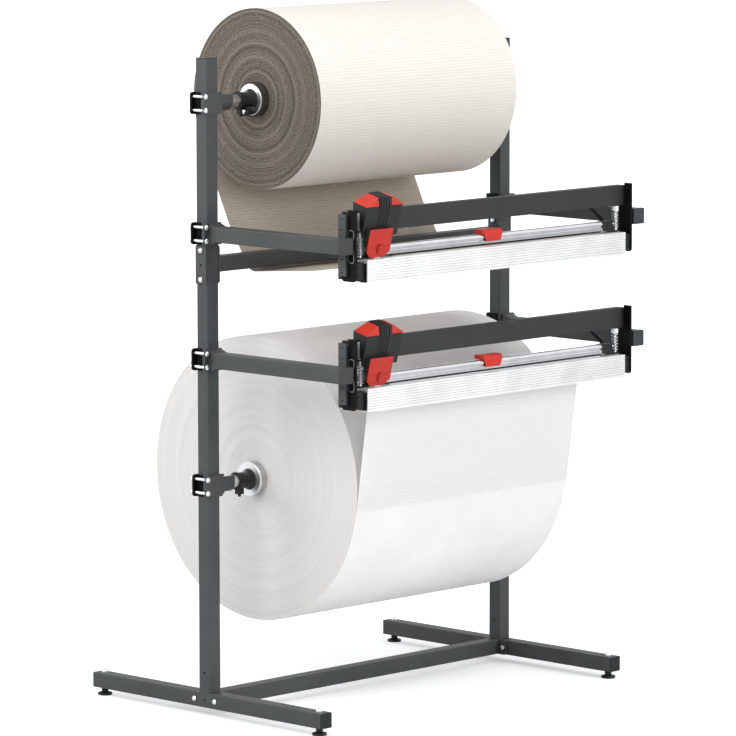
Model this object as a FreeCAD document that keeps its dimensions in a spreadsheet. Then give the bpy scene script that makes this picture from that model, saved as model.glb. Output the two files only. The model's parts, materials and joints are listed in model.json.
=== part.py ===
import FreeCAD, Part

"""Floor stand that unrolls corrugated card and film from two rolls and cuts them off.

Two posts on foot beams carry the rolls in open cradles. Arms clamped to the posts carry two
equal cutter units, each with a cutting table, a sprung press rail and a sliding cutter head.

X runs along the rolls and is 0 midway between the posts, Y runs to the back, Z is up from the
floor. Pieces of a cutter unit are drawn about the middle of its arms, with Y from the post line.
All lengths are in millimetres.
"""

import math
import os

import Sketcher

SIZES = (
    # Stand
    ("post_span", 1100, "between the centre lines of the posts"),
    ("tube", 40, "outside of the square tube"),
    ("tube_wall", 2, "wall of the square tube"),
    ("tube_corner", 3, "outer corner radius of the square tube"),
    ("stand_height", 1704, "floor to the top of the post caps"),
    ("joint_height", 1173, "floor to the joint between lower and upper post"),
    ("foot_length", 850, "length of a foot beam with its caps"),
    ("foot_clearance", 20, "floor to the underside of a foot beam"),
    ("cap_plate", 2, "thickness of a tube cap outside the tube"),
    ("cap_plug", 12, "depth of a tube cap inside the tube"),
    ("foot_inset", 25, "end of the foot beam to the levelling foot"),
    ("pad_diameter", 39, "foot pad"),
    ("pad_height", 9, "foot pad"),
    ("stud_diameter", 10, "threaded stud of a levelling foot"),
    ("nut_diameter", 18, "dome nut on the foot beam"),
    ("nut_height", 10, "dome nut on the foot beam"),
    ("drain_hole", 6, "small holes in posts, foot beams and splice plates"),
    ("drain_height", 112, "floor to the small hole in a post"),
    ("splice_length", 99, "splice plate along the post"),
    ("splice_width", 40, "splice plate across the post"),
    ("splice_plate", 5, "thickness of splice plates and crossbar flanges"),
    ("splice_pitch", 75, "between the two bolts of a splice"),
    ("joint_clamp_gap", 2.4, "splice plates up to the upper arms' clamps"),
    # Bolts
    ("bolt_diameter", 8, "shank of every bolt"),
    ("bolt_hole", 8.6, "clearance hole of every bolt"),
    ("bolt_head", 14, "diameter of the domed head"),
    ("bolt_head_height", 5, "height of the domed head"),
    # Clamps on the posts
    ("clamp_outer", 35, "post centre to the clamp plates' outer edge"),
    ("clamp_inner", 26, "post centre to the clamp plates' inner edge"),
    ("clamp_height", 57, "clamp plates along the post"),
    ("clamp_bolt_line", 27.5, "post centre to the clamp bolts, on the outer side"),
    ("clamp_pitch", 35, "between the two bolts of a clamp"),
    ("clamp_corner", 8, "corner radius of the clamp plates"),
    ("yoke_plate", 6, "thickness of the back yoke"),
    ("yoke_lip", 3.2, "thickness of the yoke's outer cheek"),
    ("yoke_lip_depth", 18, "reach of the yoke's outer cheek"),
    ("front_plate", 5, "thickness of the front plate"),
    ("upper_axle_height", 1588, "floor to the card roll's axle"),
    ("unit_spacing", 325.2, "upper arms down to the lower arms"),
    ("lower_axle_height", 601, "floor to the film roll's axle"),
    # Arms
    ("collar_length", 23.5, "square collar between front plate and arm"),
    ("arm_reach", 504, "post line to the front of the arm's cap"),
    ("arm_cap_size", 42, "outside of the cap on the arm"),
    ("arm_cap_skirt", 12.6, "depth of the cap on the arm"),
    ("arm_cap_front", 3, "thickness of the cap's front"),
    # Axle cradles, axles and hubs
    ("axle_diameter", 34.5, "roll axle"),
    ("axle_wall", 3, "wall of the axle tube"),
    ("axle_play", 0.3, "radial gap between axle and cradle"),
    ("cradle_wall", 5.2, "wall of the open cradle"),
    ("cradle_rise", 20, "axle centre to the top of the cradle's walls"),
    ("cradle_end", 72, "post centre to the cradle's far end"),
    ("axle_inset", 32, "post centre to the axle's end"),
    ("hub_length", 48, "hub outside its flange"),
    ("hub_diameter", 42, "middle of the hub"),
    ("hub_rim", 46, "rim at the hub's outer end"),
    ("hub_rim_width", 6, "width of that rim"),
    ("hub_flare", 56, "hub where it meets its flange"),
    ("hub_flare_length", 14, "length of the flare"),
    ("flange_thickness", 4, "bright flange against the core"),
    ("card_flange_diameter", 82, "flange diameter on the card roll"),
    ("film_flange_diameter", 90, "flange diameter on the film roll"),
    ("spigot_length", 38, "part of the hub inside the core"),
    ("lug_length", 18, "clamp lug under the hub, along the axle"),
    ("lug_width", 16, "clamp lug, across"),
    ("lug_depth", 14, "clamp lug, below the hub"),
    # Rolls and webs
    ("core_diameter", 90, "outside of the cardboard core"),
    ("core_wall", 7, "wall of the cardboard core"),
    ("card_core_overhang", 20, "core beyond the card roll's ends"),
    ("film_core_overhang", 14, "core beyond the film roll's ends, on average"),
    ("film_core_shift", 9, "middle of the film's core from the middle of the stand"),
    ("card_diameter", 470, "card roll"),
    ("card_width", 734, "card roll and web"),
    ("card_shift", -4, "middle of the card roll from the middle of the stand"),
    ("film_diameter", 746, "film roll"),
    ("film_width", 796, "film roll and web"),
    ("film_shift", 15, "middle of the film roll from the middle of the stand"),
    ("web_thickness", 2, "card and film as they run to the table"),
    ("web_gap", 0.6, "web to the turning roll that it leaves"),
    ("sag_clearance", 14, "crossbar down to the lowest run of the card"),
    ("sag_fall_line", 105, "post line to the card's first bend"),
    ("sag_fall_share", 0.556, "first bend above the lowest run, as a share of the way to the roll"),
    ("sag_turn_line", 26, "post line to the turn under the crossbar"),
    ("sag_front_line", 269, "post line to the card's last bend"),
    ("sag_front_rise", 24, "last bend above the lowest run"),
    ("web_corner", 8, "table's back to the line where a web turns on to it"),
    ("card_fall_bend", 256, "radius of the card's first bend"),
    ("card_turn_bend", 32, "radius of the card's turn under the crossbar"),
    ("card_rise_bend", 600, "radius of the card's bend before the table"),
    ("card_table_bend", 40, "radius where the card turns on to the table"),
    # Cutter unit: ends
    ("bar_thickness", 8.5, "mounting bar along the rolls"),
    ("bar_back", 451, "post line to the back of the mounting bar"),
    ("bar_front", 477.5, "post line to the front of the mounting bar"),
    ("bar_height", 156, "mounting bar, middle on the arm"),
    ("bar_hole", 5, "holes in the mounting bar"),
    ("end_wall", 3, "wall of the black end profile"),
    ("end_back", 456, "post line to the back of the end profile"),
    ("end_front", 504, "post line to the front of the end profile"),
    ("end_top", 89, "arm middle to the top of the end profile"),
    ("end_back_top", 72, "arm middle to the end profile's top behind the beam's front"),
    ("end_bottom", 92, "arm middle to the bottom of the end profile"),
    ("end_front_flange", 3, "front flange of the end profile"),
    ("end_slot_length", 83, "blind slot in the end profile"),
    ("end_slot_width", 19.5, "blind slot in the end profile"),
    ("end_slot_line", 489.2, "post line to the slot's middle"),
    ("end_slot_drop", 3, "arm middle down to the slot's middle"),
    ("end_slot_depth", 1.5, "blind slot in the end profile's outer face"),
    # Cutter unit: beam and table
    ("beam_back", 453, "post line to the back of the guide beam"),
    ("beam_front", 478, "post line to the front of the guide beam"),
    ("beam_top", 83, "arm middle to the top of the guide beam"),
    ("beam_bottom", 30, "arm middle to the underside of the guide beam"),
    ("beam_wall", 3, "wall of the guide beam"),
    ("table_front", 512, "post line to the front of the cutting table"),
    ("table_back", 427, "post line to the back of the cutting table"),
    ("table_drop", 38, "arm middle down to the table's top"),
    ("table_height", 59, "front wall of the cutting table"),
    ("table_wall", 3, "walls of the cutting table"),
    ("table_lip", 18, "height of the table's back lip"),
    ("table_return", 28, "depth of the table's bottom return"),
    ("rib_count", 8, "grooves along the table's front"),
    ("rib_pitch", 6.6, "between those grooves"),
    ("groove_width", 1.8, "grooves along the table's front"),
    ("groove_depth", 0.8, "grooves along the table's front"),
    ("slot_line", 492.4, "post line to the middle of the cutting slot"),
    ("slot_width", 4, "cutting slot"),
    ("slot_depth", 6, "cutting slot"),
    ("block_front", 501, "post line to the front of the table end block"),
    ("block_depth", 61, "table end block, front to back"),
    ("block_top", 45, "arm middle down to the end block's top"),
    ("block_bottom", 88, "arm middle down to the end block's underside"),
    ("block_length", 32, "end profile to the table's end"),
    ("block_hole", 4, "blind holes in the front of a table end block"),
    ("block_hole_depth", 4, "blind holes in the front of a table end block"),
    ("block_hole_pitch", 20, "between those two holes"),
    ("tenon_length", 20, "end block inside the table"),
    # Cutter unit: press rail
    ("rod_line", 480, "post line to the guide rods"),
    ("rod_inset", 68.5, "post centre to a guide rod"),
    ("rod_diameter", 8, "guide rod"),
    ("rod_collar", 20, "collar at the top of a guide rod"),
    ("rod_collar_height", 12, "collar at the top of a guide rod"),
    ("spring_wire", 2.4, "wire of a rail spring"),
    ("spring_turns", 6.5, "turns of a rail spring"),
    ("spring_play", 0.3, "between a spring and its seats"),
    ("bush_gap", 0.5, "bush above the table's top at rest"),
    ("bush_height", 4, "bush on the guide rod"),
    ("bush_play", 0.1, "radial play between bush and rod"),
    ("rail_back", 468, "post line to the back of the press rail"),
    ("rail_front", 487, "post line to the front of the press rail"),
    ("rail_top", 7, "arm middle down to the press rail's top"),
    ("rail_bottom", 31.5, "arm middle down to the press rail's underside"),
    ("rail_end", 127, "post centre to the end of the press rail"),
    ("rail_round", 8, "rounding of the press rail's top"),
    ("rail_waist", 2, "depth of the groove along the rail's front"),
    ("lip_clearance", 0.4, "rubber lip above the web at rest"),
    ("lip_width", 11, "rubber lip"),
    ("rail_block_length", 39, "black block at the rail's end"),
    ("grip_width", 71, "lifting grip along the rail"),
    ("grip_back", 455, "post line to the back of the grip"),
    ("grip_top", 4, "arm middle to the top of the grip"),
    ("grip_bottom", 26, "arm middle down to the grip's front edge"),
    ("grip_wall", 2.5, "front wall of the grip"),
    ("grip_gap", 0.5, "grip's wall to the rail's front"),
    ("brace_width", 14, "end brace"),
    ("brace_thickness", 3, "end brace"),
    ("brace_back", 456, "post line to the back of the end brace"),
    ("brace_top", 143.5, "post centre to the brace's upper end"),
    ("brace_foot", 45.5, "post centre to the brace's lower end"),
    # Cutter head
    ("head_start", 60, "post centre to the head's left side at rest"),
    ("head_length", 126, "head along the beam"),
    ("head_front", 515, "post line to the front of the head"),
    ("head_play", 0.5, "head to the beam on every side"),
    ("head_wall", 4, "housing over the top of the beam"),
    ("slider_thickness", 9, "bright slider between beam and housing"),
    ("slider_margin", 4, "slider below the beam's top and above its underside"),
    ("head_bottom", 38, "arm middle to the underside of the housing"),
    ("roof_back", 465, "post line to the back of the roof"),
    ("roof_front_height", 94, "arm middle to the roof's front edge"),
    ("head_tilt", 14.5, "degrees that the roof falls to the front"),
    ("roof_length", 138, "roof along the beam"),
    ("roof_overhang", 1.6, "roof to the left of the head"),
    ("roof_rise", 21.4, "roof's base to its plateau, square to the base"),
    ("roof_left_run", 44, "foot of the roof to its plateau on the left"),
    ("roof_right_run", 39, "foot of the roof to its plateau on the right"),
    ("roof_front_run", 8.6, "foot of the roof to its plateau at the front"),
    ("roof_back_run", 8, "foot of the roof to its plateau at the back"),
    ("band_start", 45, "head's left side to the ribbed band"),
    ("band_width", 43, "ribbed band over the head"),
    ("band_thickness", 0.6, "ribbed band outside the roof"),
    ("band_rib", 1.4, "ribs on the band"),
    ("band_rib_width", 4.6, "ribs on the band"),
    ("band_ribs", 4, "number of ribs on the band"),
    ("plate_start", 12, "head's left side to the blade plate"),
    ("plate_width", 83, "blade plate"),
    ("plate_length", 74.5, "blade plate along its slope"),
    ("plate_thickness", 2.5, "blade plate"),
    ("plate_tilt", 14.6, "degrees that the blade plate and the housing's front lean back below"),
    ("plate_corner_left", 15.5, "cut corner at the plate's lower left, along X"),
    ("plate_corner_right", 22, "cut corner at the plate's lower right, along X"),
    ("plate_corner_rise", 14, "cut corners along the slope"),
    ("step_rise", 28, "plate's lower edge to its cross step"),
    ("step_height", 1.4, "cross step on the blade plate"),
    ("knob_line", 45.7, "plate's left side to the lock knob"),
    ("knob_drop", 53.5, "plate's top to the lock knob along its slope"),
    ("knob_diameter", 25, "lock knob"),
    ("knob_height", 1.6, "lock knob without its slotted top"),
    ("knob_slot", 5, "grip bar across the lock knob"),
    ("knob_gap", 0.3, "lock knob above the blade plate"),
    ("tab_width", 27, "tab below the housing's right end"),
    ("tab_drop", 20, "tabs below the housing's ends"),
    ("carrier_margin", 3, "plate carrier outside the plate's sides"),
    ("carrier_bottom", 8, "arm middle down to the carrier's underside"),
    ("carrier_back", 493, "post line to the carrier's back"),
    ("blade_width", 25, "blade along the slot"),
    ("blade_thickness", 0.8, "blade"),
    ("blade_depth", 4.5, "blade below the table's top"),
    ("blade_clearance", 1.5, "blade's shoulders above the table's top"),
)

doc = FreeCAD.newDocument("PaperCuttingStand")
Vector = FreeCAD.Vector
Rotation = FreeCAD.Rotation
ALONG = {"X": Vector(1, 0, 0), "Y": Vector(0, 1, 0), "Z": Vector(0, 0, 1)}


class Size:
    """A size worked out from the sheet: its number, and the formula that the document binds."""

    def __init__(self, number, formula):
        self.number = number
        self.formula = formula

    def __add__(self, other):
        other = as_size(other)
        return Size(self.number + other.number, f"({self.formula} + {other.formula})")

    def __sub__(self, other):
        other = as_size(other)
        return Size(self.number - other.number, f"({self.formula} - {other.formula})")

    def __mul__(self, other):
        other = as_size(other)
        return Size(self.number * other.number, f"({self.formula} * {other.formula})")

    def __truediv__(self, other):
        other = as_size(other)
        return Size(self.number / other.number, f"({self.formula} / {other.formula})")

    def __neg__(self):
        return Size(-self.number, f"(0 - {self.formula})")

    def sine(self):
        return Size(math.sin(math.radians(self.number)), f"sin({self.formula} * 1 deg)")

    def cosine(self):
        return Size(math.cos(math.radians(self.number)), f"cos({self.formula} * 1 deg)")

    def tangent(self):
        return Size(math.tan(math.radians(self.number)), f"tan({self.formula} * 1 deg)")


def as_size(value):
    return value if isinstance(value, Size) else Size(float(value), repr(value))


def fill_sheet():
    """Puts the driving sizes in a spreadsheet and gives each back as a Size."""
    sheet = doc.addObject("Spreadsheet::Sheet", "Sizes")
    for row, (alias, number, meaning) in enumerate(SIZES, start=1):
        sheet.set(f"A{row}", meaning)
        sheet.set(f"B{row}", str(number))
        sheet.setAlias(f"B{row}", alias)
    doc.recompute()
    return {alias: Size(float(sheet.get(alias)), f"Sizes.{alias}") for alias, _, _ in SIZES}


class Sizes:
    """The sheet's sizes by name."""

    def __init__(self, sizes):
        self.__dict__.update(sizes)


S = Sizes(fill_sheet())
ZERO = Size(0.0, "0")

# Places that many pieces share.
HALF_SPAN = S.post_span / 2
HALF_TUBE = S.tube / 2
TUBE_INSIDE = S.tube - S.tube_wall * 2
BEAM_TOP = S.foot_clearance + S.tube
FOOT_MIDDLE = S.foot_clearance + HALF_TUBE
FRONT_REACH = S.head_front + S.band_thickness + S.band_rib
POST_Y = (FRONT_REACH - S.foot_length / 2) / 2
CLAMP_FRONT = HALF_TUBE + S.front_plate
AXLE_RADIUS = S.axle_diameter / 2
CRADLE_INSIDE = AXLE_RADIUS + S.axle_play
CRADLE_RADIUS = CRADLE_INSIDE + S.cradle_wall
BAR_INNER = HALF_TUBE + S.bar_thickness
END_INNER = BAR_INNER + S.end_wall
TABLE_END = END_INNER + S.block_length
TABLE_LENGTH = (HALF_SPAN - TABLE_END) * 2
TABLE_BOTTOM = S.table_drop + S.table_height
WEB_END = S.slot_line - S.slot_width / 2 - S.web_thickness
LIP_BOTTOM = S.table_drop - S.web_thickness - S.lip_clearance
UPPER_ARM_HEIGHT = S.joint_height + (S.splice_length + S.clamp_height) / 2 + S.joint_clamp_gap
LOWER_ARM_HEIGHT = UPPER_ARM_HEIGHT - S.unit_spacing
UNIT_HEIGHTS = (("upper", UPPER_ARM_HEIGHT), ("lower", LOWER_ARM_HEIGHT))
SUB_PARTS = []


# ---------------------------------------------------------------- shared ways of building


def bind(thing, **formulas):
    for path, size in formulas.items():
        thing.setExpression(path, as_size(size).formula)


def place(thing, x=ZERO, y=ZERO, z=ZERO, about=None, angle=ZERO):
    """Puts a piece at x, y, z, turned about one axis by an angle in degrees."""
    if about:
        thing.Placement = FreeCAD.Placement(Vector(), Rotation(ALONG[about], angle.number))
    for axis, size in (("x", x), ("y", y), ("z", z)):
        thing.setExpression(f".Placement.Base.{axis}", as_size(size).formula)


def sub_part(thing, label):
    """Names a piece as one that is written to its own file."""
    thing.Label = label
    SUB_PARTS.append(thing)
    return thing


def new_body(name):
    return doc.addObject("PartDesign::Body", name)


def outline(body, plane, *loops, offset=None):
    """A sketch on one of the body's planes. A loop is a list of corners, or (x, y, radius)."""
    sketch = body.newObject("Sketcher::SketchObject", body.Name + "Outline")
    base = next(f for f in body.Origin.OriginFeatures if f.Role == plane + "_Plane")
    sketch.AttachmentSupport = (base, [""])
    sketch.MapMode = "FlatFace"
    if offset is not None:
        sketch.setExpression(".AttachmentOffset.Base.z", as_size(offset).formula)
    for loop in loops:
        if isinstance(loop, tuple):
            add_circle(sketch, *loop)
        else:
            add_polygon(sketch, loop)
    return sketch


def hold(sketch, kind, geometry, point, size):
    """Fixes one coordinate of a point in a sketch to a formula."""
    size = as_size(size)
    number = sketch.addConstraint(Sketcher.Constraint(kind, -1, 1, geometry, point, size.number))
    sketch.setExpression(f"Constraints[{number}]", size.formula)


def add_circle(sketch, x, y, radius):
    x, y, radius = as_size(x), as_size(y), as_size(radius)
    middle = Vector(x.number, y.number, 0)
    circle = sketch.addGeometry(Part.Circle(middle, Vector(0, 0, 1), radius.number), False)
    hold(sketch, "DistanceX", circle, 3, x)
    hold(sketch, "DistanceY", circle, 3, y)
    number = sketch.addConstraint(Sketcher.Constraint("Radius", circle, radius.number))
    sketch.setExpression(f"Constraints[{number}]", radius.formula)


def add_polygon(sketch, corners):
    corners = [(as_size(x), as_size(y)) for x, y in corners]
    spots = [Vector(x.number, y.number, 0) for x, y in corners]
    lines = [
        sketch.addGeometry(Part.LineSegment(start, end), False)
        for start, end in zip(spots, spots[1:] + spots[:1])
    ]
    for line, following in zip(lines, lines[1:] + lines[:1]):
        sketch.addConstraint(Sketcher.Constraint("Coincident", line, 2, following, 1))
    for line, (x, y) in zip(lines, corners):
        hold(sketch, "DistanceX", line, 1, x)
        hold(sketch, "DistanceY", line, 1, y)


def rectangle(left, right, low, high):
    return [(left, low), (right, low), (right, high), (left, high)]


def feature(body, kind, sketch, length=None, **settings):
    """A PartDesign feature of a sketch, such as a Pad or a Pocket."""
    made = body.newObject("PartDesign::" + kind, body.Name + kind)
    made.Profile = sketch
    sketch.Visibility = False
    for name, value in settings.items():
        setattr(made, name, value)
    if length is not None:
        bind(made, Length=length)
    doc.recompute()
    return made


def cut_through(body, sketch):
    """A pocket right through the body, both ways from its sketch."""
    before = body.Shape.Volume
    pocket = feature(body, "Pocket", sketch, Type="ThroughAll", Midplane=True)
    if body.Shape.Volume >= before:
        raise ValueError(f"the pocket in {body.Name} cuts nothing")
    return pocket


def revolve(body, sketch, axis):
    made = body.newObject("PartDesign::Revolution", body.Name + "Turned")
    made.Profile = sketch
    made.ReferenceAxis = (sketch, [axis])
    made.Angle = 360
    doc.recompute()
    return made


def round_edges(body, radius, wanted):
    """Rounds the edges of the body whose middle and direction pass the test."""
    names = []
    for index, edge in enumerate(body.Shape.Edges, start=1):
        if edge.Curve.TypeId != "Part::GeomLine":
            continue
        middle = body.Placement.inverse().multVec(edge.CenterOfMass)
        if wanted(middle, edge.tangentAt(edge.FirstParameter)):
            names.append(f"Edge{index}")
    base = body.Tip
    rounding = body.newObject("PartDesign::Fillet", body.Name + "Rounding")
    rounding.Base = (base, names)
    bind(rounding, Radius=radius)
    body.Tip = rounding
    doc.recompute()
    return rounding


def repeat_along(body, original, axis, length, count):
    """A row of copies of a feature along one of the body's own axes."""
    row = body.newObject("PartDesign::LinearPattern", body.Name + "Row")
    row.Originals = [original]
    base = next(f for f in body.Origin.OriginFeatures if f.Role == axis + "_Axis")
    row.Direction = (base, [""])
    bind(row, Length=length, Occurrences=count)
    body.Tip = row
    doc.recompute()
    return row


def box(name, x, y, z, length, width, height):
    made = doc.addObject("Part::Box", name)
    bind(made, Length=length, Width=width, Height=height)
    place(made, x, y, z)
    return made


def mirrored(source):
    """The same piece on the other side of the stand."""
    made = doc.addObject("Part::Mirroring", source.Name + "Mirrored")
    made.Source = source
    made.Base = Vector()
    made.Normal = ALONG["X"]
    return made


def compound(name, pieces):
    made = doc.addObject("Part::Compound", name)
    made.Links = pieces
    return made


def copy_at(source, x=ZERO, y=ZERO, z=ZERO, about=None, angle=ZERO):
    link = doc.addObject("App::Link", source.Name + "Copy")
    link.LinkedObject = source
    place(link, x, y, z, about, angle)
    return link


def both_sides(source):
    return compound(source.Name + "Pair", [source, mirrored(source)])


def in_both_units(label, source):
    """One node of equal pieces: left and right, in the upper and the lower cutter unit."""
    pair = both_sides(source)
    copies = [copy_at(pair, y=POST_Y, z=height) for _, height in UNIT_HEIGHTS]
    return sub_part(compound(label, copies), label)


def near(value, size):
    return abs(value - as_size(size).number) < 0.01


# ---------------------------------------------------------------- stand


def square_tube(name, plane, length, start=None):
    """A square tube that stands on one of its body's planes and runs along the plane's normal."""
    body = new_body(name)
    outer = rectangle(-HALF_TUBE, HALF_TUBE, -HALF_TUBE, HALF_TUBE)
    inside = TUBE_INSIDE / 2
    inner = rectangle(-inside, inside, -inside, inside)
    feature(body, "Pad", outline(body, plane, outer, inner, offset=start), length)
    run = {"XY": "z", "XZ": "y", "YZ": "x"}[plane]
    across = [axis for axis in "xyz" if axis != run]

    def outer_corner(middle, direction):
        return all(near(abs(getattr(middle, axis)), HALF_TUBE) for axis in across)

    round_edges(body, S.tube_corner, outer_corner)
    return body


def build_foot_beams():
    length = S.foot_length - S.cap_plate * 2
    stud_line = S.foot_length / 2 - S.foot_inset
    beam = square_tube("FootBeam", "XZ", length, start=-length / 2)
    studs = [(ZERO, stud_line * end, S.stud_diameter / 2 + S.bush_play) for end in (-1, 1)]
    cut_through(beam, outline(beam, "XY", *studs))
    bolts = [(S.splice_pitch / 2 * end, ZERO, S.bolt_hole / 2) for end in (-1, 1)]
    cut_through(beam, outline(beam, "YZ", *bolts, (ZERO, ZERO, S.drain_hole / 2)))
    copies = [copy_at(beam, HALF_SPAN * sign, POST_Y, FOOT_MIDDLE) for sign in (-1, 1)]
    sub_part(compound("FootBeams", copies), "foot_beams")


def build_posts():
    lower_length = S.joint_height - BEAM_TOP
    lower = square_tube("LowerPost", "XY", lower_length)
    bolt_hole = (ZERO, lower_length - S.splice_pitch / 2, S.bolt_hole / 2)
    drain_hole = (ZERO, S.drain_height - BEAM_TOP, S.drain_hole / 2)
    cut_through(lower, outline(lower, "YZ", bolt_hole, drain_hole))
    upper = square_tube("UpperPost", "XY", S.stand_height - S.cap_plate - S.joint_height)
    bolt_hole = (ZERO, S.splice_pitch / 2, S.bolt_hole / 2)
    cut_through(upper, outline(upper, "YZ", bolt_hole))
    for post, start, label in (
        (lower, BEAM_TOP, "lower_posts"),
        (upper, S.joint_height, "upper_posts"),
    ):
        copies = [copy_at(post, HALF_SPAN * sign, POST_Y, start) for sign in (-1, 1)]
        sub_part(compound(post.Name + "s", copies), label)


def build_tube_caps():
    """Flat plugs that close the tops of the posts and the ends of the foot beams."""
    cap = new_body("TubeCap")
    half = HALF_TUBE
    feature(cap, "Pad", outline(cap, "XY", rectangle(-half, half, -half, half)), S.cap_plate)

    def on_top(middle, direction):
        return near(middle.z, S.cap_plate)

    def upright(middle, direction):
        return abs(direction.z) > 0.9

    round_edges(cap, S.tube_corner, upright)
    round_edges(cap, S.cap_plate / 2, on_top)
    plug = TUBE_INSIDE / 2
    sketch = outline(cap, "XY", rectangle(-plug, plug, -plug, plug))
    feature(cap, "Pad", sketch, S.cap_plug, Reversed=True)
    caps = []
    right_angle = Size(90.0, "90")
    for sign in (-1, 1):
        x = HALF_SPAN * sign
        caps.append(copy_at(cap, x, POST_Y, S.stand_height - S.cap_plate))
        for end in (-1, 1):
            y = POST_Y + (S.foot_length / 2 - S.cap_plate) * end
            caps.append(copy_at(cap, x, y, FOOT_MIDDLE, "X", right_angle * -end))
    sub_part(compound("TubeCaps", caps), "tube_caps")


def crossbar_flange(name, along, across):
    """A plate on the crossbar's end, on the YZ plane, with two bolt holes."""
    body = new_body(name)
    pitch = S.splice_pitch / 2
    outer = rectangle(-across / 2, across / 2, -along / 2, along / 2)
    spots = [(ZERO, pitch * end) for end in (-1, 1)]
    if across.number > along.number:
        spots = [(pitch * end, ZERO) for end in (-1, 1)]
    holes = [(y, z, S.bolt_hole / 2) for y, z in spots]
    feature(body, "Pad", outline(body, "YZ", outer, *holes), S.splice_plate)
    round_edges(body, S.clamp_corner, lambda middle, direction: abs(direction.x) > 0.9)
    return body


def build_crossbar(name, label, height, along, across):
    """A crossbar welded to the flanges that bolt it to posts or foot beams."""
    reach = HALF_SPAN - HALF_TUBE
    tube = square_tube(name, "YZ", (reach - S.splice_plate) * 2, start=S.splice_plate - reach)
    left = crossbar_flange(name + "Flange", along, across)
    place(left, -reach, ZERO, ZERO)
    whole = doc.addObject("Part::MultiFuse", name + "Welded")
    whole.Shapes = [tube, left, mirrored(left)]
    place(whole, ZERO, POST_Y, height)
    sub_part(whole, label)


def build_splice_plates():
    """Outer plates over the joint between lower and upper posts."""
    plate = new_body("SplicePlate")
    half_length = S.splice_length / 2
    half_width = S.splice_width / 2
    pitch = S.splice_pitch / 2
    holes = [(ZERO, pitch * end, S.bolt_hole / 2) for end in (-1, 1)]
    holes.append((ZERO, ZERO, S.drain_hole / 2))
    outer = rectangle(-half_width, half_width, -half_length, half_length)
    feature(plate, "Pad", outline(plate, "YZ", outer, *holes), S.splice_plate, Reversed=True)
    round_edges(plate, S.splice_plate / 2, lambda middle, way: near(middle.x, -S.splice_plate))
    place(plate, -(HALF_SPAN + HALF_TUBE), POST_Y, S.joint_height)
    sub_part(both_sides(plate), "splice_plates")


def build_levelling_feet():
    """Pads on studs that turn in the foot beams, and dome nuts that lock them."""
    pad, stud, nut = S.pad_diameter / 2, S.stud_diameter / 2, S.nut_diameter / 2
    gap = S.axle_play
    shoulder = S.foot_clearance - gap
    stud_top = BEAM_TOP + S.nut_height / 2
    foot = new_body("LevellingFoot")
    corners = [
        (ZERO, ZERO),
        (pad * 0.92, ZERO),
        (pad, S.pad_height * 0.3),
        (pad * 0.95, S.pad_height * 0.7),
        (stud * 1.8, S.pad_height),
        (stud * 1.8, shoulder),
        (stud, shoulder),
        (stud, stud_top),
        (ZERO, stud_top),
    ]
    revolve(foot, outline(foot, "XZ", corners), "V_Axis")
    dome = new_body("DomeNut")
    bore = stud + gap
    corners = [
        (bore, BEAM_TOP),
        (nut, BEAM_TOP),
        (nut, BEAM_TOP + S.nut_height * 0.4),
        (nut * 0.8, BEAM_TOP + S.nut_height * 0.8),
        (nut * 0.4, BEAM_TOP + S.nut_height),
        (ZERO, BEAM_TOP + S.nut_height),
        (ZERO, stud_top + gap),
        (bore, stud_top + gap),
    ]
    revolve(dome, outline(dome, "XZ", corners), "V_Axis")
    nuts = []
    for side, sign in (("left", -1), ("right", 1)):
        for end, way in (("front", -1), ("back", 1)):
            x = HALF_SPAN * sign
            y = POST_Y + (S.foot_length / 2 - S.foot_inset) * way
            nuts.append(copy_at(dome, x, y, ZERO))
            whole = compound(f"Foot{end}{side}", [copy_at(foot, x, y, ZERO)])
            sub_part(whole, f"levelling_foot_{end}_{side}")
    sub_part(compound("FootLockNuts", nuts), "foot_lock_nuts")


def bolt(name, grip):
    """A bolt with a domed head and its nut. The head stands on the XY plane."""
    body = new_body(name)
    shank, head, rise = S.bolt_diameter / 2, S.bolt_head / 2, S.bolt_head_height
    nut = head * 0.9
    corners = [
        (ZERO, -grip - rise * 1.4),
        (shank, -grip - rise * 1.4),
        (nut, -grip - rise),
        (nut, -grip),
        (shank, -grip),
        (shank, ZERO),
        (head, ZERO),
        (head, rise * 0.35),
        (head * 0.65, rise * 0.85),
        (ZERO, rise),
    ]
    revolve(body, outline(body, "XZ", corners), "V_Axis")
    return body


def build_bolts():
    """Every bolt of the stand: splices, base flanges and the clamps on the posts."""
    splice = bolt("SpliceBolt", S.tube + S.splice_plate * 2)
    base = bolt("BaseBolt", S.tube + S.splice_plate)
    clamp = bolt("ClampBolt", S.tube + S.front_plate + S.yoke_plate)
    quarter = Size(90.0, "90")
    bolts = []
    for sign in (-1, 1):
        outside = (HALF_SPAN + HALF_TUBE) * sign
        for end in (-1, 1):
            z = S.joint_height + S.splice_pitch / 2 * end
            x = outside + S.splice_plate * sign
            bolts.append(copy_at(splice, x, POST_Y, z, "Y", quarter * sign))
            y = POST_Y + S.splice_pitch / 2 * end
            bolts.append(copy_at(base, outside, y, FOOT_MIDDLE, "Y", quarter * sign))
            for height in CLAMP_HEIGHTS:
                x = (HALF_SPAN + S.clamp_bolt_line) * sign
                z = height + S.clamp_pitch / 2 * end
                bolts.append(copy_at(clamp, x, POST_Y - CLAMP_FRONT, z, "X", quarter))
    sub_part(compound("Bolts", bolts), "fastening_bolts")


# ---------------------------------------------------------------- clamps, arms and cradles

CLAMP_HEIGHTS = (
    S.upper_axle_height,
    UPPER_ARM_HEIGHT,
    LOWER_ARM_HEIGHT,
    S.lower_axle_height,
)


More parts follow.
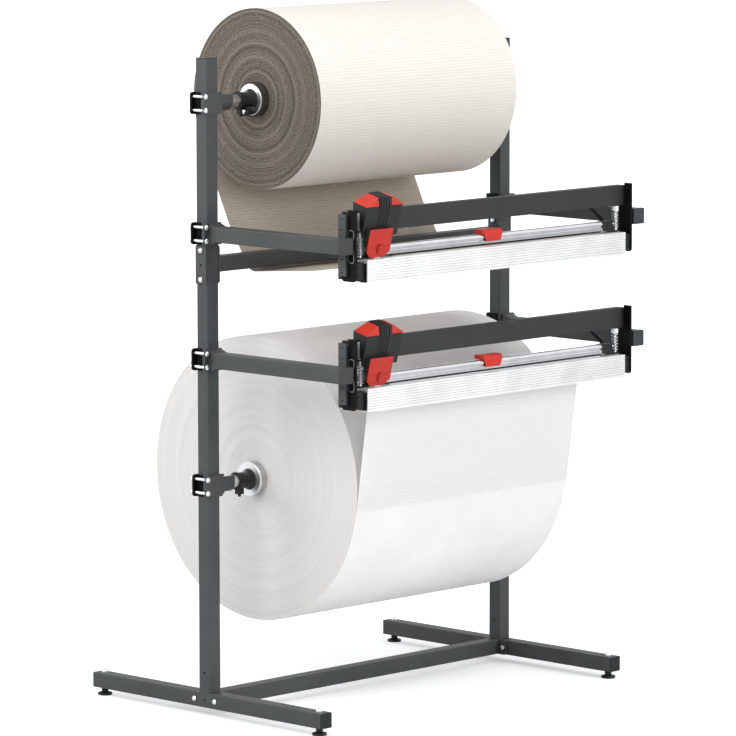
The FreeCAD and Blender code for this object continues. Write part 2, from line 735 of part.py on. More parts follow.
def clamp_plate(name, thickness):
    """The plate that both halves of a left clamp start from, drawn on the XZ plane."""
    body = new_body(name)
    half = S.clamp_height / 2
    holes = [(-S.clamp_bolt_line, S.clamp_pitch / 2 * end, S.bolt_hole / 2) for end in (-1, 1)]
    outer = rectangle(-S.clamp_outer, S.clamp_inner, -half, half)
    feature(body, "Pad", outline(body, "XZ", outer, *holes), thickness)
    round_edges(body, S.clamp_corner, lambda spot, way: abs(way.y) > 0.9 and spot.x < 0)
    return body


def on_every_post(label, left_piece, heights):
    """One node of equal clamped pieces on both posts at the given heights."""
    at_post = compound(left_piece.Name + "AtPost", [copy_at(left_piece, x=-HALF_SPAN)])
    pair = both_sides(at_post)
    copies = [copy_at(pair, y=POST_Y, z=height) for height in heights]
    return sub_part(compound(label.title().replace("_", ""), copies), label)


def build_clamp_yokes():
    """Black yokes behind the posts: a long cheek on the inside and a short one outside."""
    yoke = clamp_plate("Yoke", S.yoke_plate)
    half = S.clamp_height / 2
    outer = rectangle(-HALF_TUBE - S.yoke_lip, -HALF_TUBE, -half, half)
    sketch = outline(yoke, "XZ", outer, offset=S.yoke_plate)
    feature(yoke, "Pad", sketch, S.yoke_lip_depth)
    inner = rectangle(HALF_TUBE, S.clamp_inner, -half, half)
    feature(yoke, "Pad", outline(yoke, "XZ", inner, offset=S.yoke_plate), S.tube)
    whole = compound("YokeOnPost", [yoke])
    place(yoke, ZERO, HALF_TUBE + S.yoke_plate, ZERO)
    on_every_post("clamp_yokes", whole, CLAMP_HEIGHTS)


def build_arms():
    """Arms: a clamp plate, a tapered collar and the square tube, welded together."""
    plate = clamp_plate("ArmPlate", S.front_plate)
    place(plate, ZERO, -HALF_TUBE, ZERO)
    collar = new_body("ArmCollar")
    collar_end = CLAMP_FRONT + S.collar_length
    half = S.clamp_height / 2
    corners = [
        (-CLAMP_FRONT, -half),
        (-collar_end, -HALF_TUBE),
        (-collar_end, HALF_TUBE),
        (-CLAMP_FRONT, half),
    ]
    feature(collar, "Pad", outline(collar, "YZ", corners, offset=-HALF_TUBE), S.tube)
    tube = square_tube("ArmTube", "XZ", S.arm_reach - S.arm_cap_front - collar_end)
    place(tube, ZERO, -collar_end, ZERO)
    arm = doc.addObject("Part::MultiFuse", "Arm")
    arm.Shapes = [plate, collar, tube]
    on_every_post("arms", arm, [height for _, height in UNIT_HEIGHTS])


def build_arm_caps():
    """Caps that slip over the front ends of the arms."""
    cap = new_body("ArmCap")
    half, inside = S.arm_cap_size / 2, HALF_TUBE
    sketch = outline(cap, "XZ", rectangle(-half, half, -half, half))
    feature(cap, "Pad", sketch, S.arm_cap_skirt)
    round_edges(cap, S.tube_corner + S.cap_plate / 2, lambda middle, way: abs(way.y) > 0.9)
    round_edges(cap, S.cap_plate, lambda middle, way: near(middle.y, -S.arm_cap_skirt))
    sketch = outline(cap, "XZ", rectangle(-inside, inside, -inside, inside))
    depth = S.arm_cap_skirt - S.arm_cap_front
    feature(cap, "Pocket", sketch, depth, Reversed=True)
    start = POST_Y - S.arm_reach + S.arm_cap_skirt
    copies = [
        copy_at(cap, HALF_SPAN * sign, start, height)
        for _, height in UNIT_HEIGHTS
        for sign in (-1, 1)
    ]
    sub_part(compound("ArmCaps", copies), "arm_caps")


def build_cradles():
    """Front plates that run on into an open trough, in which the roll axle lies."""
    plate = clamp_plate("CradlePlate", S.front_plate)
    place(plate, ZERO, -HALF_TUBE, ZERO)
    overlap = S.yoke_plate
    start = S.clamp_inner
    length = S.cradle_end - start
    neck = box(
        "CradleNeck",
        start - overlap,
        -CLAMP_FRONT,
        -CRADLE_RADIUS,
        overlap * 2,
        S.front_plate,
        CRADLE_RADIUS + S.cradle_rise,
    )
    quarter = Size(90.0, "90")
    outer = doc.addObject("Part::Cylinder", "CradleRound")
    bind(outer, Radius=CRADLE_RADIUS, Height=length)
    place(outer, start, ZERO, ZERO, "Y", quarter)
    bore = doc.addObject("Part::Cylinder", "CradleBore")
    bind(bore, Radius=CRADLE_INSIDE, Height=length)
    place(bore, start, ZERO, ZERO, "Y", quarter)
    width, inside = CRADLE_RADIUS * 2, CRADLE_INSIDE * 2
    walls = box("CradleWalls", start, -CRADLE_RADIUS, ZERO, length, width, S.cradle_rise)
    mouth = box("CradleMouth", start, -CRADLE_INSIDE, ZERO, length, inside, width)
    above = box("CradleAbove", start, -width, S.cradle_rise, length, width * 2, width)
    solid = doc.addObject("Part::MultiFuse", "CradleSolid")
    solid.Shapes = [outer, walls]
    tools = doc.addObject("Part::MultiFuse", "CradleTools")
    tools.Shapes = [bore, mouth, above]
    trough = doc.addObject("Part::Cut", "CradleTrough")
    trough.Base = solid
    trough.Tool = tools
    whole = doc.addObject("Part::MultiFuse", "Cradle")
    whole.Shapes = [plate, neck, trough]
    on_every_post("axle_cradles", whole, (S.upper_axle_height, S.lower_axle_height))


# ---------------------------------------------------------------- axles, hubs and rolls


def ring_along_x(name, length, outer, inner):
    """A round tube along X, centred on its body's origin."""
    body = new_body(name)
    sketch = outline(body, "YZ", (ZERO, ZERO, outer), (ZERO, ZERO, inner))
    feature(body, "Pad", sketch, length, Midplane=True)
    return body


def core_flange(name, diameter):
    """A bright disc on the YZ plane, with a spigot that runs to +X into the core."""
    spigot = S.core_diameter / 2 - S.core_wall
    out = -S.flange_thickness
    corners = [
        (out, AXLE_RADIUS),
        (S.spigot_length, AXLE_RADIUS),
        (S.spigot_length, spigot * 0.94),
        (S.spigot_length * 0.8, spigot),
        (ZERO, spigot),
        (ZERO, diameter / 2),
        (out * 0.7, diameter / 2),
        (out, diameter / 2 + out * 0.3),
    ]
    body = new_body(name)
    revolve(body, outline(body, "XZ", corners), "H_Axis")
    return body


def hub(name):
    """A black hub outside the flange, with a clamp lug and its screw below."""
    flare, middle, rim = S.hub_flare / 2, S.hub_diameter / 2, S.hub_rim / 2
    out = -S.flange_thickness
    end = out - S.hub_length
    corners = [
        (end, AXLE_RADIUS),
        (out, AXLE_RADIUS),
        (out, flare),
        (out - S.hub_flare_length, middle),
        (end + S.hub_rim_width, middle),
        (end + S.hub_rim_width, rim),
        (end, rim),
    ]
    body = new_body(name)
    revolve(body, outline(body, "XZ", corners), "H_Axis")
    top = AXLE_RADIUS + S.cap_plate
    lug = box(
        name + "Lug",
        end + S.hub_rim_width,
        -S.lug_width / 2,
        -middle - S.lug_depth,
        S.lug_length,
        S.lug_width,
        S.lug_depth + middle - top,
    )
    screw = doc.addObject("Part::Cylinder", name + "Screw")
    bind(screw, Radius=S.lug_width / 4, Height=S.lug_depth)
    x = end + S.hub_rim_width + S.lug_length / 2
    place(screw, x, ZERO, -middle - S.lug_depth * 1.5)
    whole = doc.addObject("Part::MultiFuse", name + "WithLug")
    whole.Shapes = [body, lug, screw]
    return whole


def build_rolls():
    half_turn = Size(180.0, "180")
    rolls = (
        ("upper", "card", S.upper_axle_height, S.card_diameter, S.card_width, S.card_shift),
        ("lower", "film", S.lower_axle_height, S.film_diameter, S.film_width, S.film_shift),
    )
    cores = {
        "upper": (S.card_core_overhang, S.card_shift, S.card_flange_diameter),
        "lower": (S.film_core_overhang, S.film_core_shift, S.film_flange_diameter),
    }
    for level, goods, height, diameter, width, shift in rolls:
        overhang, core_shift, flange = cores[level]
        axle_length = S.post_span - S.axle_inset * 2
        axle = ring_along_x(f"Axle{level}", axle_length, AXLE_RADIUS, AXLE_RADIUS - S.axle_wall)
        place(axle, ZERO, POST_Y, height)
        sub_part(axle, f"{level}_axle")
        core_outer = S.core_diameter / 2
        core_length = width + overhang * 2
        core = ring_along_x(f"Core{level}", core_length, core_outer, core_outer - S.core_wall)
        place(core, core_shift, POST_Y, height)
        sub_part(core, f"{level}_core")
        roll = ring_along_x(f"Roll{level}", width, diameter / 2, core_outer)
        place(roll, shift, POST_Y, height)
        sub_part(roll, f"{goods}_roll")
        near_end, far_end = core_shift - core_length / 2, core_shift + core_length / 2
        pieces = (
            (hub(f"Hub{level}"), f"{level}_hubs"),
            (core_flange(f"Flange{level}", flange), f"{level}_core_flanges"),
        )
        for piece, label in pieces:
            left = copy_at(piece, near_end, POST_Y, height)
            right = copy_at(piece, far_end, POST_Y, height, "Z", half_turn)
            sub_part(compound(piece.Name + "Pair", [left, right]), label)


def rounded_path(points, radii):
    """Straight runs through the points, joined by tangent arcs, as edges in the YZ plane."""
    spots = [Vector(0, y, z) for y, z in points]
    edges = []
    start = spots[0]
    for before, corner, after, radius in zip(spots, spots[1:], spots[2:], radii):
        back = (before - corner).normalize()
        forward = (after - corner).normalize()
        half = back.getAngle(forward) / 2
        reach = radius / math.tan(half)
        middle = corner + (back + forward).normalize() * (radius / math.sin(half) - radius)
        first, last = corner + back * reach, corner + forward * reach
        edges.append(Part.LineSegment(start, first).toShape())
        edges.append(Part.Arc(first, middle, last).toShape())
        start = last
    edges.append(Part.LineSegment(start, spots[-1]).toShape())
    return Part.Wire(edges)


def tangent_point(spot, radius):
    """Where a line from a spot below the roll's front touches a circle about the origin."""
    distance = math.hypot(*spot)
    angle = math.atan2(spot[1], spot[0]) + math.acos(radius / distance)
    return radius * math.cos(angle), radius * math.sin(angle)


def web_solid(label, path, width, shift):
    """A web: its underside follows the path, and it is as wide as its roll."""
    thickness = S.web_thickness.number
    face = path.makeOffset2D(thickness, 0, True, True, False)
    solid = face.extrude(Vector(width.number, 0, 0))
    web = doc.addObject("Part::Feature", label.title().replace("_", ""))
    web.Shape = solid
    place(web, shift - width / 2, POST_Y, ZERO)
    sub_part(web, label)


def build_webs():
    """Card comes off the back of its roll and sags to the upper table; film goes straight up."""
    corner = S.web_corner.number
    back, end = corner - S.table_back.number, -WEB_END.number
    gap = S.web_gap.number + S.web_thickness.number

    table = UPPER_ARM_HEIGHT.number - S.table_drop.number
    axle = S.upper_axle_height.number
    low = S.joint_height.number - HALF_TUBE.number - S.sag_clearance.number
    rise = axle - S.card_diameter.number / 2 - low
    fall = (S.sag_fall_line.number, low + rise * S.sag_fall_share.number)
    start = tangent_point((fall[0], fall[1] - axle), S.card_diameter.number / 2 + gap)
    points = [
        (start[0], start[1] + axle),
        fall,
        (S.sag_turn_line.number, low),
        (-S.sag_front_line.number, low + S.sag_front_rise.number),
        (back, table),
        (end, table),
    ]
    bends = (S.card_fall_bend, S.card_turn_bend, S.card_rise_bend, S.card_table_bend)
    path = rounded_path(points, [bend.number for bend in bends])
    web_solid("card_web", path, S.card_width, S.card_shift)

    table = LOWER_ARM_HEIGHT.number - S.table_drop.number
    axle = S.lower_axle_height.number
    start = tangent_point((back, table - axle), S.film_diameter.number / 2 + gap)
    points = [(start[0], start[1] + axle), (back, table), (end, table)]
    web_solid("film_web", rounded_path(points, [corner]), S.film_width, S.film_shift)


# ---------------------------------------------------------------- cutter unit: fixed pieces


def build_mounting_bars():
    """Bars on the inner faces of the arms; they carry the guide beam."""
    bar = new_body("MountingBar")
    half = S.bar_height / 2
    middle = (S.bar_back + S.bar_front) / -2
    outer = rectangle(-S.bar_front, -S.bar_back, -half, half)
    holes = [
        (middle, half * share, S.bar_hole / 2) for share in (0.85, 0.5, -0.45, -0.88)
    ]
    sketch = outline(bar, "YZ", outer, *holes, offset=HALF_TUBE - HALF_SPAN)
    feature(bar, "Pad", sketch, S.bar_thickness)
    in_both_units("mounting_bars", bar)


def build_end_profiles():
    """Black end plates inside the mounting bars, with a blind slot beside the arm's end."""
    profile = new_body("EndProfile")
    start = BAR_INNER - HALF_SPAN
    back, front, top = -S.end_back, -S.end_front, S.end_top
    corners = [
        (front, -S.end_bottom),
        (back, -S.end_bottom),
        (back, S.end_back_top),
        (-S.beam_front, S.end_back_top),
        (-S.beam_front, top),
        (front, top),
    ]
    feature(profile, "Pad", outline(profile, "YZ", corners, offset=start), S.end_wall)

    def low_corner(spot, way):
        return abs(way.x) > 0.9 and near(spot.z, -S.end_bottom)

    round_edges(profile, S.clamp_corner, low_corner)
    flange = rectangle(front, front + S.end_wall, S.clamp_corner - S.end_bottom, top)
    sketch = outline(profile, "YZ", flange, offset=start + S.end_wall)
    feature(profile, "Pad", sketch, S.end_front_flange)
    middle = -S.end_slot_line
    half_width = S.end_slot_width / 2
    low = -S.end_slot_drop - S.end_slot_length / 2
    slot = rectangle(middle - half_width, middle + half_width, low, low + S.end_slot_length)
    sketch = outline(profile, "YZ", slot, offset=start)
    feature(profile, "Pocket", sketch, S.end_slot_depth, Reversed=True)

    def slot_corner(spot, way):
        return abs(way.x) > 0.9 and near(abs(spot.y - middle.number), half_width)

    round_edges(profile, half_width * 0.8, slot_corner)
    in_both_units("end_profiles", profile)


def build_guide_beams():
    """The channel that the head slides on, open to the back, between the mounting bars."""
    length = (HALF_SPAN - END_INNER) * 2
    for unit, height in UNIT_HEIGHTS:
        beam = new_body(f"GuideBeam{unit}")
        back, front = -S.beam_back, -S.beam_front
        top, low, wall = S.beam_top, S.beam_bottom, S.beam_wall
        corners = [
            (back, low),
            (front, low),
            (front, top),
            (back, top),
            (back, top - wall * 3),
            (back - wall, top - wall * 3),
            (back - wall, top - wall),
            (front + wall, top - wall),
            (front + wall, low + wall),
            (back - wall, low + wall),
            (back - wall, low + wall * 3),
            (back, low + wall * 3),
        ]
        feature(beam, "Pad", outline(beam, "YZ", corners, offset=-length / 2), length)
        place(beam, ZERO, POST_Y, height)
        sub_part(beam, f"{unit}_guide_beam")


def build_tables():
    """Aluminium tables: a ribbed front, a flat top with the cutting slot, and a back lip."""
    for unit, height in UNIT_HEIGHTS:
        table = new_body(f"Table{unit}")
        back, front, wall = -S.table_back, -S.table_front, S.table_wall
        top, bottom = -S.table_drop, -TABLE_BOTTOM
        slot_back = S.slot_width / 2 - S.slot_line
        slot_front = -S.slot_line - S.slot_width / 2
        floor = top - S.slot_depth
        corners = [
            (front, top),
            (slot_front, top),
            (slot_front, floor),
            (slot_back, floor),
            (slot_back, top),
            (back, top),
            (back, top - S.table_lip),
            (back - wall, top - S.table_lip),
            (back - wall, top - wall),
            (slot_back + wall, top - wall),
            (slot_back + wall, floor - wall),
            (front + wall, floor - wall),
            (front + wall, bottom + wall),
            (front + S.table_return, bottom + wall),
            (front + S.table_return, bottom),
            (front, bottom),
        ]
        sketch = outline(table, "YZ", corners, offset=-TABLE_LENGTH / 2)
        feature(table, "Pad", sketch, TABLE_LENGTH)
        first = bottom + S.rib_pitch
        groove = rectangle(front, front + S.groove_depth, first, first + S.groove_width)
        sketch = outline(table, "YZ", groove)
        pocket = cut_through(table, sketch)
        row = S.rib_pitch * (S.rib_count - 1)
        repeat_along(table, pocket, "Z", row, S.rib_count)
        place(table, ZERO, POST_Y, height)
        sub_part(table, f"{unit}_cutting_table")


def build_end_blocks():
    """Black blocks between the end profiles and the table, with a tenon inside the table."""
    block = new_body("EndBlock")
    front, back = -S.block_front, S.block_depth - S.block_front
    start = END_INNER - HALF_SPAN
    outer = rectangle(front, back, -S.block_bottom, -S.block_top)
    feature(block, "Pad", outline(block, "YZ", outer, offset=start), TABLE_END - END_INNER)
    roof = S.table_drop + S.slot_depth + S.table_wall
    floor = TABLE_BOTTOM - S.table_wall
    tenon = rectangle(front, back, -floor, -roof)
    sketch = outline(block, "YZ", tenon, offset=-TABLE_LENGTH / 2)
    feature(block, "Pad", sketch, S.tenon_length)
    middle = -(S.block_top + S.block_bottom) / 2
    x, radius = start + S.block_length * 0.3, S.block_hole / 2
    holes = [(x, middle + S.block_hole_pitch / 2 * end, radius) for end in (-1, 1)]
    sketch = outline(block, "XZ", *holes, offset=S.block_front)
    feature(block, "Pocket", sketch, S.block_hole_depth)
    in_both_units("table_end_blocks", block)


def build_guide_rods():
    """Rods from the table up to the beam, each with the collar that holds its spring."""
    rod = new_body("GuideRod")
    radius, collar = S.rod_diameter / 2, S.rod_collar / 2
    top = S.beam_bottom
    corners = [
        (ZERO, -S.table_drop),
        (radius, -S.table_drop),
        (radius, top - S.rod_collar_height),
        (collar, top - S.rod_collar_height),
        (collar, top),
        (ZERO, top),
    ]
    revolve(rod, outline(rod, "XZ", corners), "V_Axis")
    place(rod, S.rod_inset - HALF_SPAN, -S.rod_line, ZERO)
    in_both_units("guide_rods", rod)


def build_end_braces():
    """Slanting strips from the beam's underside down to the table end blocks."""
    brace = new_body("EndBrace")
    half = S.brace_width / 2
    top, foot = S.brace_top - HALF_SPAN, S.brace_foot - HALF_SPAN
    corners = [
        (foot - half, -S.block_top),
        (foot + half, -S.block_top),
        (top + half, S.beam_bottom),
        (top - half, S.beam_bottom),
    ]
    feature(brace, "Pad", outline(brace, "XZ", corners, offset=S.brace_back), S.brace_thickness)
    in_both_units("end_braces", brace)


# ---------------------------------------------------------------- cutter unit: press rail


def build_press_rails():
    """The bright rail that holds the web down: rounded on top, with a groove along its front."""
    length = (HALF_SPAN - S.rail_end) * 2
    middle = (S.rail_top + S.rail_bottom) / -2
    waist = S.rail_waist
    for unit, height in UNIT_HEIGHTS:
        rail = new_body(f"PressRail{unit}")
        back, front = -S.rail_back, -S.rail_front
        corners = [
            (back, -S.rail_bottom),
            (front, -S.rail_bottom),
            (front, middle - waist * 2),
            (front + waist, middle - waist),
            (front + waist, middle),
            (front, middle + waist),
            (front, -S.rail_top),
            (back, -S.rail_top),
        ]
        feature(rail, "Pad", outline(rail, "YZ", corners, offset=-length / 2), length)
        round_edges(rail, S.rail_round, lambda spot, way: near(spot.z, -S.rail_top) and abs(way.x) > 0.9)
        place(rail, ZERO, POST_Y, height)
        sub_part(rail, f"{unit}_press_rail")


def build_rail_lips():
    length = (HALF_SPAN - S.rail_end) * 2
    middle = (S.rail_back + S.rail_front) / -2
    half = S.lip_width / 2
    for unit, height in UNIT_HEIGHTS:
        lip = new_body(f"RailLip{unit}")
        outer = rectangle(middle - half, middle + half, -LIP_BOTTOM, -S.rail_bottom)
        feature(lip, "Pad", outline(lip, "YZ", outer, offset=-length / 2), length)
        place(lip, ZERO, POST_Y, height)
        sub_part(lip, f"{unit}_rail_lip")


def build_rail_end_blocks():
    """Blocks on the rail's ends, with a sloping arm out to the bush on the guide rod."""
    bush = S.rod_collar / 2
    low = S.table_drop - S.bush_gap
    depth = S.rail_front - S.rail_back
    start = S.rail_end - S.rail_block_length
    for unit, height in UNIT_HEIGHTS:
        block = new_body(f"RailEndBlock{unit}")
        rod = S.rod_inset - HALF_SPAN
        inner = start - HALF_SPAN
        outer = S.rail_end - HALF_SPAN
        corners = [
            (rod - bush, -low),
            (inner, -low),
            (outer, -S.rail_bottom),
            (outer, -S.rail_top),
            (inner, -S.rail_top),
            (inner - S.bush_height, -S.rail_bottom / 2 - S.rail_top / 2),
            (rod + bush, S.bush_height - low),
            (rod - bush, S.bush_height - low),
        ]
        sketch = outline(block, "XZ", corners, offset=S.rail_back)
        feature(block, "Pad", sketch, depth)
        hole = (rod, -S.rod_line, S.rod_diameter / 2 + S.bush_play)
        cut_through(block, outline(block, "XY", hole))
        pair = both_sides(block)
        copy = copy_at(pair, y=POST_Y, z=height)
        sub_part(compound(f"RailEndBlocks{unit}", [copy]), f"{unit}_rail_end_blocks")


def build_rail_springs():
    """Coil springs between the bushes and the collars of the guide rods."""
    seat = S.bush_height + S.spring_play + S.bush_gap - S.table_drop
    top = S.beam_bottom - S.rod_collar_height - S.spring_play
    wire = S.spring_wire.number / 2
    radius = S.rod_collar.number / 2 - wire
    height = top.number - seat.number - wire * 2
    turn = Part.makeHelix(height / S.spring_turns.number, height, radius)
    section = Part.makePolygon(
        [
            Vector(radius + wire * i, 0, wire * j)
            for i, j in ((1, 0), (0, 1), (-1, 0), (0, -1), (1, 0))
        ]
    )
    coil = Part.Wire(turn.Edges).makePipeShell([Part.Wire(section)], True, True)
    spring = doc.addObject("Part::Feature", "RailSpring")
    spring.Shape = coil
    place(spring, S.rod_inset - HALF_SPAN, -S.rod_line, seat + S.spring_wire / 2)
    pair = both_sides(spring)
    for unit, arm_height in UNIT_HEIGHTS:
        copy = copy_at(pair, y=POST_Y, z=arm_height)
        sub_part(compound(f"RailSprings{unit}", [copy]), f"{unit}_rail_springs")


def build_grips():
    """The red grip that hooks over the rail."""
    half = S.grip_width / 2
    front = -S.rail_front - S.grip_gap - S.grip_wall
    for unit, height in UNIT_HEIGHTS:
        grip = new_body(f"Grip{unit}")
        back = -S.grip_back
        inner = front + S.grip_wall
        under = -S.rail_top
        corners = [
            (back, S.grip_top),
            (front, S.grip_top),
            (front, -S.grip_bottom),
            (inner, -S.grip_bottom),
            (inner, under),
            (back - S.grip_wall, under),
            (back, under + S.grip_wall),
        ]
        feature(grip, "Pad", outline(grip, "YZ", corners, offset=-half), S.grip_width)

        def outer_edge(spot, way):
            return abs(way.x) > 0.9 and near(spot.y, front) and near(spot.z, S.grip_top)

        def inner_edge(spot, way):
            return abs(way.x) > 0.9 and near(spot.y, inner) and near(spot.z, under)

        round_edges(grip, S.rail_round * 1.2, outer_edge)
        round_edges(grip, S.rail_round, inner_edge)
        place(grip, ZERO, POST_Y, height)
        sub_part(grip, f"{unit}_rail_grip")


# ---------------------------------------------------------------- cutter unit: sliding head


def roof_line(depth):
    """Height of the roof's base at a distance behind the head's front."""
    return S.roof_front_height + depth * S.head_tilt.tangent()


def top_line(depth):
    """Height of the roof's plateau at a distance behind the head's front."""
    return roof_line(depth) + S.roof_rise / S.head_tilt.cosine()


def housing_front(height):
    """Distance from the post line of the housing's front, which leans back below its roof."""
    return S.head_front - (S.roof_front_height - height) * S.plate_tilt.tangent()


def plate_back(drop):
    """Distance from the post line of the blade plate's back, at a drop below its top."""
    return S.head_front - S.plate_thickness - drop * S.plate_tilt.tangent()


def build_head_housings():
    """Dark housing: over the beam, down its front, with the ribbed band and the plate carrier."""
    start = S.head_start - HALF_SPAN
    front, back = -S.head_front, -S.roof_back
    inner = -(S.beam_front + S.head_play + S.slider_thickness)
    over = S.beam_top + S.head_play * 2
    for unit, height in UNIT_HEIGHTS:
        housing = new_body(f"HeadHousing{unit}")
        corners = [
            (front, S.roof_front_height),
            (-housing_front(S.head_bottom), S.head_bottom),
            (inner, S.head_bottom),
            (inner, over),
            (back, over),
            (back, roof_line(S.head_front - S.roof_back)),
        ]
        sketch = outline(housing, "YZ", corners, offset=start)
        feature(housing, "Pad", sketch, S.head_length)
        add_carrier(housing, start, inner)
        add_tabs(housing, start)
        add_band(housing, start, inner - S.head_wall)
        place(housing, ZERO, POST_Y, height)
        sub_part(housing, f"{unit}_head_housing")


def add_carrier(housing, start, inner):
    """The part of the housing behind the blade plate, with the blade's seat on its back."""
    drop = S.head_bottom + S.carrier_bottom
    back = -S.carrier_back
    corners = [
        (-plate_back(ZERO), S.head_bottom),
        (-plate_back(drop), -S.carrier_bottom),
        (back, -S.carrier_bottom),
        (back, S.carrier_bottom),
        (inner - S.head_wall, S.head_bottom),
    ]
    offset = start + S.plate_start - S.carrier_margin
    sketch = outline(housing, "YZ", corners, offset=offset)
    feature(housing, "Pad", sketch, S.plate_width + S.carrier_margin * 2)


def add_tabs(housing, start):
    """Short tabs below both ends of the housing, leaning back with its front."""
    low = S.head_bottom - S.tab_drop
    back = -S.carrier_back
    corners = [
        (-housing_front(S.head_bottom), S.head_bottom),
        (-housing_front(low), low),
        (back, low),
        (back, S.head_bottom),
    ]
    feature(housing, "Pad", outline(housing, "YZ", corners, offset=start), S.plate_start)
    offset = start + S.head_length - S.tab_width
    feature(housing, "Pad", outline(housing, "YZ", corners, offset=offset), S.tab_width)


def add_band(housing, start, inner):
    """The band over the roof and straight down the front, with its row of ribs."""
    front, back = -S.head_front, -S.roof_back
    depth = S.head_front - S.roof_back
    run = S.roof_back_run * S.head_tilt.cosine()

    def band(proud):
        return [
            (back, roof_line(depth) - S.head_wall),
            (inner, S.roof_front_height - S.head_wall),
            (inner, S.head_bottom),
            (front - proud, S.head_bottom),
            (front - proud, top_line(ZERO) + proud),
            (back - run, top_line(depth - run) + proud),
            (back, roof_line(depth) + proud),
        ]

    offset = start + S.band_start
    sketch = outline(housing, "YZ", band(S.band_thickness), offset=offset)
    feature(housing, "Pad", sketch, S.band_width)
    gap = (S.band_width - S.band_rib_width * S.band_ribs) / (S.band_ribs + 1)
    profile = band(S.band_thickness + S.band_rib)
    sketch = outline(housing, "YZ", profile, offset=offset + gap)
    rib = feature(housing, "Pad", sketch, S.band_rib_width)
    row = (S.band_rib_width + gap) * (S.band_ribs - 1)
    repeat_along(housing, rib, "X", row, S.band_ribs)


def build_head_roofs():
    """Red hipped roofs in two halves, left and right of the ribbed band."""
    tilt = S.head_tilt
    depth = (S.head_front - S.roof_back) / tilt.cosine()
    # A right angle and the tilt bring the wedge's Y up and its Z to the front.
    quarter = Size(90.0, "90")
    for unit, height in UNIT_HEIGHTS:
        hip = doc.addObject("Part::Wedge", f"RoofHip{unit}")
        bind(
            hip,
            Xmin=ZERO,
            Xmax=S.roof_length,
            Ymin=ZERO,
            Ymax=S.roof_rise,
            Zmin=ZERO,
            Zmax=depth,
            X2min=S.roof_left_run,
            X2max=S.roof_length - S.roof_right_run,
            Z2min=S.roof_back_run - S.roof_rise * tilt.tangent(),
            Z2max=depth - S.roof_front_run,
        )
        start = S.head_start - HALF_SPAN
        base = roof_line(S.head_front - S.roof_back)
        place(hip, start - S.roof_overhang, -S.roof_back, base, "X", quarter + tilt)
        slot = box(
            f"RoofSlot{unit}",
            start + S.band_start,
            -S.head_front - S.head_wall,
            ZERO,
            S.band_width,
            S.head_front,
            S.end_top * 2,
        )
        roof = doc.addObject("Part::Cut", f"HeadRoof{unit}")
        roof.Base = hip
        roof.Tool = slot
        place(roof, ZERO, POST_Y, height)
        sub_part(roof, f"{unit}_head_roof")


def build_head_sliders():
    """Bright sliders that run on the front of the guide beam."""
    for unit, height in UNIT_HEIGHTS:
        slider = new_body(f"HeadSlider{unit}")
        back = -(S.beam_front + S.head_play)
        low, top = S.beam_bottom + S.slider_margin, S.beam_top - S.slider_margin
        sketch = outline(
            slider,
            "YZ",
            rectangle(back - S.slider_thickness, back, low, top),
            offset=S.head_start - HALF_SPAN,
        )
        feature(slider, "Pad", sketch, S.head_length - S.head_wall)
        place(slider, ZERO, POST_Y, height)
        sub_part(slider, f"{unit}_head_slider")


def plate_outline(top):
    """The blade plate below a line, with its two lower corners cut, from its top left corner."""
    width, length, rise = S.plate_width, S.plate_length, S.plate_corner_rise
    return [
        (ZERO, top),
        (ZERO, rise - length),
        (S.plate_corner_left, -length),
        (width - S.plate_corner_right, -length),
        (width, rise - length),
        (width, top),
    ]


def place_on_plate(thing):
    x = S.head_start + S.plate_start - HALF_SPAN
    place(thing, x, -plate_back(ZERO), S.head_bottom, "X", S.plate_tilt)


def build_blade_plates():
    """Red plates that lean back in front of the blade, with a cross step and a lock knob."""
    for unit, height in UNIT_HEIGHTS:
        plate = new_body(f"BladePlate{unit}")
        sketch = outline(plate, "XZ", plate_outline(ZERO))
        feature(plate, "Pad", sketch, S.plate_thickness)
        sketch = outline(
            plate, "XZ", plate_outline(S.step_rise - S.plate_length), offset=S.plate_thickness
        )
        feature(plate, "Pad", sketch, S.step_height)
        place_on_plate(plate)
        whole = compound(f"PlateOnHead{unit}", [plate])
        place(whole, ZERO, POST_Y, height)
        sub_part(whole, f"{unit}_blade_plate")


def build_lock_knobs():
    """Flat knobs that lock the blades: a slotted round head on the blade plate."""
    for unit, height in UNIT_HEIGHTS:
        knob = new_body(f"LockKnob{unit}")
        x, z = S.knob_line, -S.knob_drop
        base = S.plate_thickness + S.step_height + S.knob_gap
        sketch = outline(knob, "XZ", (x, z, S.knob_diameter / 2), offset=base)
        feature(knob, "Pad", sketch, S.knob_height)
        sketch = outline(knob, "XZ", (x, z, S.knob_diameter * 0.4), offset=base + S.knob_height)
        feature(knob, "Pad", sketch, S.step_height)
        half = S.knob_slot / 2
        bar = rectangle(x - S.knob_diameter * 0.36, x + S.knob_diameter * 0.36, z - half, z + half)
        top = base + S.knob_height + S.step_height
        feature(knob, "Pad", outline(knob, "XZ", bar, offset=top), S.step_height)
        place_on_plate(knob)
        whole = compound(f"KnobOnPlate{unit}", [knob])
        place(whole, ZERO, POST_Y, height)
        sub_part(whole, f"{unit}_lock_knob")


